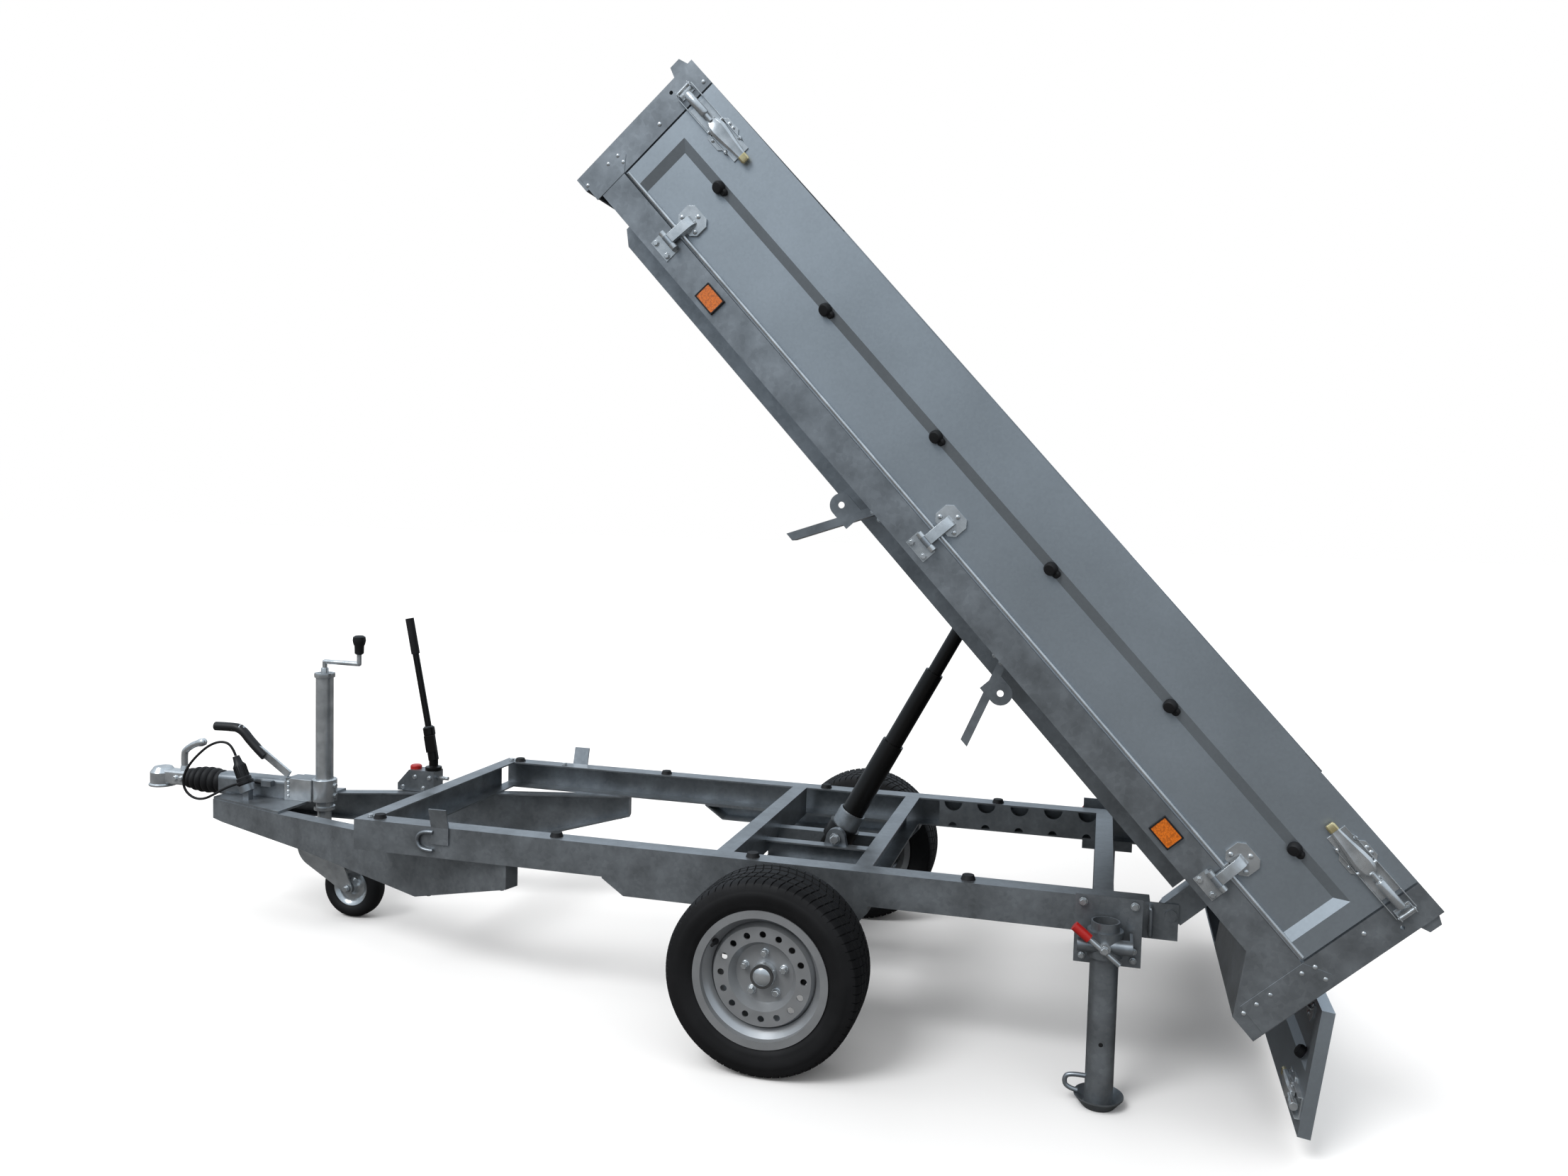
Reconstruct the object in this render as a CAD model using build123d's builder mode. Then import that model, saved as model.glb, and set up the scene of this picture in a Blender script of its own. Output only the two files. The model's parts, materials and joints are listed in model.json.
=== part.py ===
from build123d import *
import os
from math import atan, atan2, cos, degrees, hypot, pi, radians, sin, tan

os.makedirs("parts", exist_ok=True)

# Tipper trailer, standing parked with its bed raised and its tailgate hanging open.
# Millimetres. +X points to the rear, +Y to the right-hand side, +Z up, and the ground is z = 0.
# Lengths along X are worked out from the wheel axle, and the whole part is then shifted so
# that the middle of its length lies at x = 0.

# Wheels and axle
tyre_radius = 262.5
tyre_width = 195
track = 1296
rim_flange_radius = 182.5
rim_width = 175

# Chassis frame, its places measured from the axle
wheel_gap = 61.5
frame_width = track - tyre_width - 2 * wheel_gap
rail_height = 94
rail_flange = 64
rail_wall = 5
rail_top = 499
frame_front = -1373
rail_end = 1032
flange_end = 962

# Bed: places along it and heights above it are measured from its hinge pin
tilt = 47.5
hinge_back = 1014
hinge_drop = 29
hinge_height = rail_top - hinge_drop
bed_front = -2388
bed_rear = 249
bed_width = 1550
floor_top = 205
panel_top = 514
side_beam_height = 78
side_beam_flange = 40
bed_wall = 4
front_beam_width = 41
front_beam_bottom = 102
rear_beam_width = 69
rear_beam_bottom = 5
bearer_height = 60
floor_thickness = 18
runner_inset = 14
runner_width = 50
runner_bottom = 47
post_width = 79
panel_thickness = 25

# Hinges of the panels and the gate: the pin stands out from the face and below the floor
pin_offset = 12
pin_drop = 24
pin_radius = 5
knuckle_radius = 9
gate_lean = 7.2
catch_reach = 22

# Coupling
coupling_front = -2576

# Working clearances and cuts
run_gap = 0.3
swing_gap = 5
cut_over = 5

wheel_y = track / 2
half_frame = frame_width / 2
half_bed = bed_width / 2
runner_outer = half_frame - runner_inset
rail_bottom = rail_top - rail_height
web_inner = half_frame - rail_wall
flange_tip = half_frame - rail_flange
post_inner = half_bed - panel_thickness
beam_bottom = floor_top - side_beam_height
floor_bottom = floor_top - floor_thickness
bearer_bottom = floor_bottom - bearer_height
slope = radians(tilt)

# The part's reach to the front and rear sets its origin
rear_reach = hinge_back + bed_rear * cos(slope) + panel_top * sin(slope)
axle_x = -(rear_reach + coupling_front) / 2
print("axle at x", round(axle_x, 3), "rear reach", round(rear_reach, 3))


def side_plane(y):
    """Upright plane along the trailer: x from the axle, y up, facing left."""
    return Plane(origin=(axle_x, y, 0), x_dir=(1, 0, 0), z_dir=(0, -1, 0))


def level_plane(z):
    """Level plane: x from the axle, y to the right, facing up."""
    return Plane(origin=(axle_x, 0, z), x_dir=(1, 0, 0), z_dir=(0, 0, 1))


def across_plane(x):
    """Upright plane across the trailer: x to the right, y up, facing the rear."""
    return Plane(origin=(axle_x + x, 0, 0), x_dir=(0, 1, 0), z_dir=(1, 0, 0))


def bed_point(along, high):
    """Where a place on the raised bed lies, from the axle and the ground."""
    back = hinge_back + along * cos(slope) + high * sin(slope)
    return back, hinge_height - along * sin(slope) + high * cos(slope)


def bed_side(y):
    """As side_plane on the raised bed: x from the hinge pin, y away from the floor."""
    return Plane(
        origin=(axle_x + hinge_back, y, hinge_height),
        x_dir=(cos(slope), 0, -sin(slope)),
        z_dir=(0, -1, 0),
    )


def bed_across(along):
    """Plane across the raised bed: x to the right, y away from the floor, facing the rear."""
    back, up = bed_point(along, 0)
    return Plane(
        origin=(axle_x + back, 0, up), x_dir=(0, 1, 0), z_dir=(cos(slope), 0, -sin(slope))
    )


def bed_level(high):
    """Plane along the bed's floor: x to the rear, y to the right, facing away from the floor."""
    back, up = bed_point(0, high)
    return Plane(
        origin=(axle_x + back, 0, up),
        x_dir=(cos(slope), 0, -sin(slope)),
        z_dir=(sin(slope), 0, cos(slope)),
    )


# Chassis rails: channels with their webs outside, open for the bed's pivot brackets at the rear
pivot_pin_radius = 11

with BuildPart() as chassis_rail_left:
    with BuildSketch(side_plane(-web_inner)):
        with BuildLine():
            Polyline(
                (frame_front, rail_bottom),
                (rail_end, rail_bottom),
                (rail_end, rail_top),
                (frame_front, rail_top),
                close=True,
            )
        make_face()
        with Locations((hinge_back, hinge_height)):
            Circle(pivot_pin_radius + run_gap, mode=Mode.SUBTRACT)
    extrude(amount=rail_wall)
    for low, end in ((rail_bottom, rail_end), (rail_top - rail_wall, flange_end)):
        with BuildSketch(side_plane(-flange_tip)):
            with BuildLine():
                Polyline(
                    (frame_front, low),
                    (end, low),
                    (end, low + rail_wall),
                    (frame_front, low + rail_wall),
                    close=True,
                )
            make_face()
        extrude(amount=rail_flange)
chassis_rail_left.part.label = "chassis_rail_left"
export_step(chassis_rail_left.part, "parts/chassis_rail_left.step")

with BuildPart() as chassis_rail_right:
    mirror(chassis_rail_left.part, about=Plane.XZ)
chassis_rail_right.part.label = "chassis_rail_right"
export_step(chassis_rail_right.part, "parts/chassis_rail_right.step")

# Cross members between the rails: columns are the web's outer face and the width to the mouth
cross_rows = (
    (frame_front, 55),
    (-172, -50),
    (182, 48),
    (873, -52),
)
mid_cross_rear = cross_rows[1][0]
mid_cross_front = cross_rows[2][0]
rear_cross_front = cross_rows[3][0] + cross_rows[3][1]

with BuildPart() as cross_members:
    for back, width in cross_rows:
        wall = rail_wall if width > 0 else -rail_wall
        with BuildSketch(side_plane(0)):
            with BuildLine():
                Polyline(
                    (back, rail_bottom),
                    (back + width, rail_bottom),
                    (back + width, rail_bottom + rail_wall),
                    (back + wall, rail_bottom + rail_wall),
                    (back + wall, rail_top - rail_wall),
                    (back + width, rail_top - rail_wall),
                    (back + width, rail_top),
                    (back, rail_top),
                    close=True,
                )
            make_face()
        extrude(amount=flange_tip, both=True)
cross_members.part.label = "cross_members"
export_step(cross_members.part, "parts/cross_members.step")

# Axle rails: folded channels under the chassis rails, their undersides from this outline
axle_rail_front = -550
axle_rail_length = 782
axle_rail_depth = 50
axle_rail_shares = ((0, 0), (0, 0.08), (0.086, 1), (0.963, 1), (1, 0.36), (1, 0))

with BuildPart() as axle_rails:
    with BuildSketch(side_plane(-flange_tip)):
        with BuildLine():
            Polyline(
                [
                    (axle_rail_front + a * axle_rail_length, rail_bottom - d * axle_rail_depth)
                    for a, d in axle_rail_shares
                ],
                close=True,
            )
        make_face()
    extrude(amount=rail_flange)
    with BuildSketch(side_plane(-flange_tip + cut_over)):
        with BuildLine():
            Polyline(
                [
                    (axle_rail_front + a * axle_rail_length, rail_bottom - d * axle_rail_depth)
                    for a, d in axle_rail_shares
                ],
                close=True,
            )
        make_face()
        offset(amount=-rail_wall, kind=Kind.INTERSECTION, mode=Mode.REPLACE)
    extrude(amount=rail_flange - rail_wall + cut_over, mode=Mode.SUBTRACT)
    mirror(about=Plane.XZ)
axle_rails.part.label = "axle_rails"
export_step(axle_rails.part, "parts/axle_rails.step")
axle_rail_bottom = rail_bottom - axle_rail_depth

# Hoist: trunnion on the cradle, eye under the bed, three stages of equal stroke
pivot_back = 48
pivot_drop = 29
pivot_height = rail_top - pivot_drop
eye_along = -944
eye_high = 112
barrel_low_length = 270
barrel_high_length = 76
barrel_radius = 42
barrel_wall = 5
lower_stage_radius = 35
upper_stage_radius = 29
stage_wall = 4
rod_radius = 22.5
stage_step = 4
gland_length = 20
guide_length = 15
bottom_gap = 6
trunnion_radius = 15
trunnion_reach = 92
collar_radius = 50
collar_length = 50
eye_radius = 24
eye_half = 20
eye_pin_radius = 10
ear_gap = 2 * (barrel_radius + swing_gap)
ear_thickness = 8

eye_back, eye_up = bed_point(eye_along, eye_high)
hoist_open = hypot(eye_back - pivot_back, eye_up - pivot_height)
hoist_angle = atan2(eye_up - pivot_height, eye_back - pivot_back)
low_back = hinge_back + eye_along - pivot_back
low_up = hinge_height + eye_high - pivot_height
hoist_closed = hypot(low_back, low_up)
hoist_low_angle = atan2(low_up, low_back)
stroke = (hoist_open - hoist_closed) / 3
print("hoist open", round(hoist_open, 2), "closed", round(hoist_closed, 2), "stroke", round(stroke, 3))
print("hoist ratio", round((degrees(hoist_low_angle) - degrees(hoist_angle)) / tilt, 5))
print("stage ratio m/rad", round(stroke / 1000 / slope, 6))
print("hoist axis", round(cos(hoist_angle), 6), round(sin(hoist_angle), 6))
print("eye from axle", round(eye_back, 2), round(eye_up, 2))

hoist_origin = (axle_x + pivot_back, 0, pivot_height)
hoist_plane = Plane(
    origin=hoist_origin,
    x_dir=(cos(hoist_angle), 0, sin(hoist_angle)),
    z_dir=(0, -1, 0),
)
hoist_axis = Axis(origin=hoist_origin, direction=(cos(hoist_angle), 0, sin(hoist_angle)))
barrel_floor = -barrel_low_length + 2 * barrel_wall

with BuildPart() as hoist_barrel:
    with BuildSketch(hoist_plane):
        with BuildLine():
            Polyline(
                (-barrel_low_length, 0),
                (-barrel_low_length, barrel_radius),
                (-collar_length / 2, barrel_radius),
                (-collar_length / 2, collar_radius),
                (collar_length / 2, collar_radius),
                (collar_length / 2, barrel_radius),
                (barrel_high_length, barrel_radius),
                (barrel_high_length, lower_stage_radius + run_gap),
                (barrel_high_length - gland_length, lower_stage_radius + run_gap),
                (barrel_high_length - gland_length, barrel_radius - barrel_wall),
                (barrel_floor, barrel_radius - barrel_wall),
                (barrel_floor, 0),
                close=True,
            )
        make_face()
    revolve(axis=hoist_axis)
    with BuildSketch(Plane(origin=hoist_origin, x_dir=(1, 0, 0), z_dir=(0, -1, 0)).offset(barrel_radius)):
        Circle(trunnion_radius)
    extrude(amount=trunnion_reach - barrel_radius)
    with BuildSketch(Plane(origin=hoist_origin, x_dir=(1, 0, 0), z_dir=(0, 1, 0)).offset(barrel_radius)):
        Circle(trunnion_radius)
    extrude(amount=trunnion_reach - barrel_radius)
hoist_barrel.part.label = "hoist_barrel"
export_step(hoist_barrel.part, "parts/hoist_barrel.step")

# Stages: columns are name, top place when closed, outer radius, radius of the tube it runs in,
# radius of what runs in it, and how many strokes it has moved
lower_top = barrel_high_length + stage_step
upper_top = lower_top + stage_step
stage_rows = (
    ("hoist_lower_stage", lower_top, lower_stage_radius, barrel_radius - barrel_wall, upper_stage_radius, 1),
    ("hoist_upper_stage", upper_top, upper_stage_radius, lower_stage_radius - stage_wall, rod_radius, 2),
)
for label, closed_top, radius, sleeve_radius, inner_radius, strokes in stage_rows:
    top = closed_top + strokes * stroke
    bottom = barrel_floor + strokes * bottom_gap + strokes * stroke
    with BuildPart() as stage:
        with BuildSketch(hoist_plane):
            with BuildLine():
                Polyline(
                    (bottom, radius - stage_wall),
                    (bottom, sleeve_radius - run_gap),
                    (bottom + guide_length, sleeve_radius - run_gap),
                    (bottom + guide_length, radius),
                    (top, radius),
                    (top, inner_radius + run_gap),
                    (top - gland_length, inner_radius + run_gap),
                    (top - gland_length, radius - stage_wall),
                    close=True,
                )
            make_face()
        revolve(axis=hoist_axis)
    stage.part.label = label
    export_step(stage.part, f"parts/{label}.step")

rod_bottom = barrel_floor + 3 * bottom_gap + 3 * stroke
with BuildPart() as hoist_rod:
    with BuildSketch(hoist_plane):
        with BuildLine():
            Polyline(
                (rod_bottom, 0),
                (rod_bottom, upper_stage_radius - stage_wall - run_gap),
                (rod_bottom + guide_length, upper_stage_radius - stage_wall - run_gap),
                (rod_bottom + guide_length, rod_radius),
                (hoist_open, rod_radius),
                (hoist_open, 0),
                close=True,
            )
        make_face()
    revolve(axis=hoist_axis)
    with BuildSketch(side_plane(0)):
        with Locations((eye_back, eye_up)):
            Circle(eye_radius)
    extrude(amount=eye_half, both=True)
    with BuildSketch(side_plane(0)):
        with Locations((eye_back, eye_up)):
            Circle(eye_pin_radius)
    extrude(amount=ear_gap / 2 - run_gap, both=True)
hoist_rod.part.label = "hoist_rod"
export_step(hoist_rod.part, "parts/hoist_rod.step")

# Hoist cradle: two channels between the middle cross members, with the trunnion bearings on them
cradle_inner = 60
cradle_width = 40
cradle_height = 60
cradle_wall = 5
trunnion_clear = 7
bearing_width = 70
bearing_thickness = 24
bearing_radius = 30
cradle_top = pivot_height - trunnion_radius - trunnion_clear
cradle_bottom = cradle_top - cradle_height

with BuildPart() as hoist_cradle:
    with BuildSketch(across_plane(mid_cross_rear)):
        with BuildLine():
            Polyline(
                (cradle_inner, cradle_bottom),
                (cradle_inner + cradle_width, cradle_bottom),
                (cradle_inner + cradle_width, cradle_bottom + cradle_wall),
                (cradle_inner + cradle_wall, cradle_bottom + cradle_wall),
                (cradle_inner + cradle_wall, cradle_top - cradle_wall),
                (cradle_inner + cradle_width, cradle_top - cradle_wall),
                (cradle_inner + cradle_width, cradle_top),
                (cradle_inner, cradle_top),
                close=True,
            )
        make_face()
    extrude(amount=mid_cross_front - mid_cross_rear)
    with BuildSketch(side_plane(cradle_inner + bearing_thickness)):
        with BuildLine():
            Polyline(
                (pivot_back - bearing_width / 2, cradle_top),
                (pivot_back + bearing_width / 2, cradle_top),
                (pivot_back + bearing_radius, pivot_height),
                (pivot_back - bearing_radius, pivot_height),
                close=True,
            )
        make_face()
        with Locations((pivot_back, pivot_height)):
            Circle(bearing_radius)
            Circle(trunnion_radius + run_gap, mode=Mode.SUBTRACT)
        with Locations((pivot_back, cradle_top - bearing_radius)):
            Rectangle(2 * bearing_width, 2 * bearing_radius, mode=Mode.SUBTRACT)
    extrude(amount=bearing_thickness)
    mirror(about=Plane.XZ)
hoist_cradle.part.label = "hoist_cradle"
export_step(hoist_cradle.part, "parts/hoist_cradle.step")

# Scalloped plates that close the rails' rear halves on the inside
inner_plate_front = 300
inner_plate_wall = 5
scallop_pitch = 111.5
scallop_radius = 30
scallop_count = 5
scallop_first = 347
foot_cut_radius = 14

with BuildPart() as inner_rail_plates:
    plate_low = rail_bottom + rail_wall
    plate_high = rail_top - rail_wall
    with BuildSketch(side_plane(-flange_tip)):
        with BuildLine():
            Polyline(
                (inner_plate_front, plate_low),
                (rear_cross_front, plate_low),
                (rear_cross_front, plate_high),
                (inner_plate_front, plate_high),
                close=True,
            )
        make_face()
        for i in range(scallop_count):
            with Locations((scallop_first + i * scallop_pitch, plate_high)):
                Circle(scallop_radius, mode=Mode.SUBTRACT)
            with Locations((scallop_first + i * scallop_pitch, plate_low)):
                Circle(foot_cut_radius, mode=Mode.SUBTRACT)
    extrude(amount=inner_plate_wall)
    mirror(about=Plane.XZ)
inner_rail_plates.part.label = "inner_rail_plates"
export_step(inner_rail_plates.part, "parts/inner_rail_plates.step")

# Rubber buffers on the rails that the lowered bed rests over
buffer_radius = 20
buffer_height = 12
buffer_inset = 36
buffer_y = half_frame - buffer_inset
buffer_places = (-1305, -711, -107, 496)

with BuildPart() as rail_buffers:
    for back in buffer_places:
        with BuildSketch(level_plane(rail_top)):
            with Locations((back, -buffer_y), (back, buffer_y)):
                Circle(buffer_radius)
        extrude(amount=buffer_height, taper=20)
rail_buffers.part.label = "rail_buffers"
export_step(rail_buffers.part, "parts/rail_buffers.step")

# Guides that catch the bed as it comes down: plates on the webs, leaning out above the rail
guide_front = -1103
guide_width = 58
guide_low = 448
guide_high = 558
guide_wall = 6
guide_flare = 16

with BuildPart() as bed_guides:
    with BuildSketch(across_plane(guide_front)):
        with BuildLine():
            Polyline(
                (half_frame, guide_low),
                (half_frame + guide_wall, guide_low),
                (half_frame + guide_wall, rail_top),
                (half_frame + guide_wall + guide_flare, guide_high),
                (half_frame + guide_flare, guide_high),
                (half_frame, rail_top),
                close=True,
            )
        make_face()
    extrude(amount=guide_width)
    mirror(about=Plane.XZ)
bed_guides.part.label = "bed_guides"
export_step(bed_guides.part, "parts/bed_guides.step")

# Drawbar arms: folded channels from the nose to under the rails, open to the inside
arm_nose = -2231
arm_rear = -860
arm_nose_half = 93.3
arm_inset = 7
arm_rear_half = half_frame - arm_inset
arm_flange = 50
arm_wall = 5
arm_nose_drop = 10
base_plate_rear = -1883
arm_depth = 169
arm_under_shares = ((0, 0.467), (0.039, 0.509), (0.348, 0.675), (0.635, 0.917), (0.729, 1), (1, 0.444))

arm_angle = atan((arm_rear_half - arm_nose_half) / (arm_rear - arm_nose))
arm_length = (arm_rear - arm_nose) / cos(arm_angle)
arm_plane = Plane(
    origin=(axle_x + arm_nose, -arm_nose_half, rail_bottom),
    x_dir=(cos(arm_angle), -sin(arm_angle), 0),
    z_dir=(-sin(arm_angle), -cos(arm_angle), 0),
)
arm_outline = [
    (0, -arm_nose_drop),
    ((base_plate_rear - arm_nose) / cos(arm_angle), -arm_nose_drop),
    ((frame_front - arm_nose) / cos(arm_angle), 0),
    (arm_length, 0),
] + [(a * arm_length, -d * arm_depth) for a, d in reversed(arm_under_shares)]

with BuildPart() as drawbar_arm_left:
    with BuildSketch(arm_plane):
        with BuildLine():
            Polyline(arm_outline, close=True)
        make_face()
    extrude(amount=-arm_flange)
    with BuildSketch(arm_plane.offset(-arm_wall)):
        with BuildLine():
            Polyline(arm_outline, close=True)
        make_face()
        offset(amount=-arm_wall, kind=Kind.INTERSECTION, mode=Mode.REPLACE)
    extrude(amount=-arm_flange, mode=Mode.SUBTRACT)
drawbar_arm_left.part.label = "drawbar_arm_left"
export_step(drawbar_arm_left.part, "parts/drawbar_arm_left.step")

with BuildPart() as drawbar_arm_right:
    mirror(drawbar_arm_left.part, about=Plane.XZ)
drawbar_arm_right.part.label = "drawbar_arm_right"
export_step(drawbar_arm_right.part, "parts/drawbar_arm_right.step")

# Lamp plug, parked in its holder beside the housing
plug_y = -80
plug_mouth = (-2094, 436)
plug_tail = (-2145, 555)
plug_radius = 25
plug_body_radius = 20
plug_neck_radius = 11
plug_mouth_length = 45
plug_neck_length = 30
holder_radius = 28
holder_depth = 20
holder_width = 24
holder_floor = 4

plug_run = (plug_tail[0] - plug_mouth[0], 0, plug_tail[1] - plug_mouth[1])
plug_length = hypot(plug_run[0], plug_run[2])
plug_plane = Plane(origin=(axle_x + plug_mouth[0], plug_y, plug_mouth[1]), z_dir=plug_run)

# Overrun housing on a base plate that ties the two arms' noses together
housing_front = -2259
housing_rear = -1973
housing_half = 35
housing_crown = 36
base_plate_wall = 8
base_plate_edge = 3
housing_round = 18
shaft_rise = 42
shaft_radius = 22
gland_front = -2060
gland_size = 20
base_plate_bottom = rail_bottom - arm_nose_drop
shaft_height = base_plate_bottom + shaft_rise
housing_top = shaft_height + housing_crown


def arm_half(x):
    """Half the width over the arms at a place along them."""
    return arm_nose_half + (x - arm_nose) * tan(arm_angle)


with BuildPart() as overrun_housing:
    with BuildSketch(level_plane(base_plate_bottom)):
        with BuildLine():
            Polyline(
                (arm_nose, -arm_nose_half + base_plate_edge),
                (base_plate_rear, -arm_half(base_plate_rear) + base_plate_edge),
                (base_plate_rear, arm_half(base_plate_rear) - base_plate_edge),
                (arm_nose, arm_nose_half - base_plate_edge),
                close=True,
            )
        make_face()
    extrude(amount=base_plate_wall)
    with BuildSketch(across_plane(housing_front)):
        with Locations((0, (base_plate_bottom + housing_top) / 2)):
            RectangleRounded(2 * housing_half, housing_top - base_plate_bottom, housing_round)
    extrude(amount=housing_rear - housing_front)
    with BuildSketch(across_plane(housing_front - cut_over)):
        with Locations((0, shaft_height)):
            Circle(shaft_radius + run_gap)
    extrude(amount=2 * gland_size + cut_over, mode=Mode.SUBTRACT)
    with BuildSketch(side_plane(-housing_half)):
        with Locations((gland_front + gland_size, shaft_height + gland_size)):
            Rectangle(2 * gland_size, gland_size)
    extrude(amount=gland_size)
    with BuildSketch(level_plane(base_plate_bottom + base_plate_wall)):
        with Locations((plug_mouth[0], plug_y)):
            Rectangle(holder_width, holder_width)
    extrude(amount=plug_mouth[1] - base_plate_bottom - base_plate_wall)
    with BuildSketch(plug_plane.offset(-holder_floor)):
        Circle(holder_radius)
    extrude(amount=holder_depth + holder_floor)
    with BuildSketch(plug_plane):
        Circle(plug_radius + run_gap)
    extrude(amount=3 * holder_depth, mode=Mode.SUBTRACT)
overrun_housing.part.label = "overrun_housing"
export_step(overrun_housing.part, "parts/overrun_housing.step")

# Bellows over the coupling's shaft: columns of the profile are place and radius
bellows_front = -2417
bellows_small = 27
bellows_large = 37
bellows_folds = 6

with BuildPart() as shaft_bellows:
    fold = (housing_front - bellows_front) / bellows_folds
    with BuildSketch(side_plane(0)):
        with BuildLine():
            crown = []
            for i in range(bellows_folds):
                crown.append((bellows_front + i * fold, shaft_height + bellows_small))
                crown.append((bellows_front + (i + 0.5) * fold, shaft_height + bellows_large))
            crown.append((housing_front, shaft_height + bellows_small))
            crown.append((housing_front, shaft_height + shaft_radius + run_gap))
            crown.append((bellows_front, shaft_height + shaft_radius + run_gap))
            Polyline(crown, close=True)
        make_face()
    revolve(axis=Axis(origin=(axle_x, 0, shaft_height), direction=(1, 0, 0)))
shaft_bellows.part.label = "shaft_bellows"
export_step(shaft_bellows.part, "parts/shaft_bellows.step")

# Coupling head: a cup over the tow ball, its neck and the shaft that slides in the housing
cup_radius = 44
cup_drop = 34
cup_rise = 15
cup_crown_rise = 34
ball_radius = 25
socket_depth = 32
neck_half = 28
neck_drop = 25
neck_rise = 26
neck_round = 8
cup_back = coupling_front + cup_radius
cup_low = shaft_height - cup_drop
cup_high = shaft_height + cup_rise
cup_crown = shaft_height + cup_crown_rise
neck_low = shaft_height - neck_drop
neck_high = shaft_height + neck_rise

with BuildPart() as coupling_head:
    with BuildSketch(level_plane(cup_low)):
        with Locations((cup_back, 0)):
            Circle(cup_radius)
    extrude(amount=cup_high - cup_low)
    with BuildSketch(level_plane(cup_high)):
        with Locations((cup_back, 0)):
            Circle(cup_radius)
    extrude(amount=cup_crown - cup_high, taper=35)
    with BuildSketch(across_plane(cup_back)):
        with Locations((0, (neck_low + neck_high) / 2)):
            RectangleRounded(2 * neck_half, neck_high - neck_low, neck_round)
    extrude(amount=bellows_front - cup_back)
    with BuildSketch(across_plane(bellows_front)):
        with Locations((0, shaft_height)):
            Circle(shaft_radius)
    extrude(amount=housing_front - bellows_front + 2 * gland_size)
    with BuildSketch(level_plane(cup_low)):
        with Locations((cup_back, 0)):
            Circle(ball_radius + run_gap)
    extrude(amount=socket_depth, mode=Mode.SUBTRACT)
coupling_head.part.label = "coupling_head"
export_step(coupling_head.part, "parts/coupling_head.step")

# Coupling handle: a bent lever over the neck, along this line of places and heights
handle_width = 30
handle_thickness = 21
handle_seat = neck_high + run_gap
handle_line = ((-2436, handle_seat), (-2436, 529), (-2397, 562), (-2345, 577))

with BuildPart() as coupling_handle:
    with BuildSketch(side_plane(0)):
        with BuildLine():
            Polyline(handle_line)
        trace(line_width=handle_thickness)
    extrude(amount=handle_width / 2, both=True)
coupling_handle.part.label = "coupling_handle"
export_step(coupling_handle.part, "parts/coupling_handle.step")

# Handbrake lever: a flat bar from the housing's rear, bent into a grip
brake_bar_width = 26
brake_root_back = -1984
brake_bend = (-2141, 587)
brake_lean = atan2(brake_bend[1] - housing_top, brake_root_back - brake_bend[0])
brake_root_high = housing_top + brake_bar_width / 2 * cos(brake_lean) + 2 * run_gap
brake_line = ((brake_root_back, brake_root_high), brake_bend, (-2187, 637), (-2297, 637))
brake_bar_thickness = 10
brake_grip_radius = 14

with BuildPart() as handbrake_lever:
    with BuildSketch(side_plane(0)):
        with BuildLine():
            Polyline(brake_line[:3])
        trace(line_width=brake_bar_width)
    extrude(amount=brake_bar_thickness / 2, both=True)
    with BuildSketch(across_plane(brake_line[2][0])):
        with Locations((0, brake_line[2][1])):
            Circle(brake_grip_radius)
    extrude(amount=brake_line[3][0] - brake_line[2][0])
handbrake_lever.part.label = "handbrake_lever"
export_step(handbrake_lever.part, "parts/handbrake_lever.step")

# Jockey wheel stand: clamp on the base plate, outer tube, crank, fork and wheel
jockey_back = -1837
jockey_tube_radius = 30
jockey_tube_wall = 3
jockey_low = 375
jockey_high = 860
jockey_inner_radius = 24
jockey_fork_top = 250
clamp_low = base_plate_bottom + base_plate_wall
clamp_high = 480
clamp_half = 34
clamp_radius = 42
crank_shaft_radius = 9
crank_shaft_top = 897
crank_reach = 140
crank_rise = 71
crank_width = 18
crank_knob_radius = 15
crank_knob_height = 60
jockey_wheel_radius = 110
jockey_wheel_width = 70
jockey_trail = 126
jockey_axle_radius = 10
jockey_tread_wall = 22
fork_gap = 84
fork_wall = 5
fork_width = 56
fork_crown_radius = 78

with BuildPart() as jockey_clamp:
    with BuildSketch(level_plane(clamp_low)):
        with Locations((jockey_back, 0)):
            Circle(clamp_radius)
        with Locations(((housing_rear + jockey_back) / 2, 0)):
            Rectangle(jockey_back - housing_rear, 2 * clamp_half)
        with Locations((jockey_back, 0)):
            Circle(jockey_tube_radius + run_gap, mode=Mode.SUBTRACT)
    extrude(amount=clamp_high - clamp_low)
jockey_clamp.part.label = "jockey_clamp"
export_step(jockey_clamp.part, "parts/jockey_clamp.step")

with BuildPart() as jockey_tube:
    with BuildSketch(level_plane(jockey_low)):
        with Locations((jockey_back, 0)):
            Circle(jockey_tube_radius)
            Circle(jockey_inner_radius + run_gap, mode=Mode.SUBTRACT)
    extrude(amount=jockey_high - jockey_low)
    with BuildSketch(level_plane(jockey_high)):
        with Locations((jockey_back, 0)):
            Circle(jockey_tube_radius + jockey_tube_wall)
            Circle(crank_shaft_radius + run_gap, mode=Mode.SUBTRACT)
    extrude(amount=-2 * jockey_tube_wall)
jockey_tube.part.label = "jockey_tube"
export_step(jockey_tube.part, "parts/jockey_tube.step")

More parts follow.
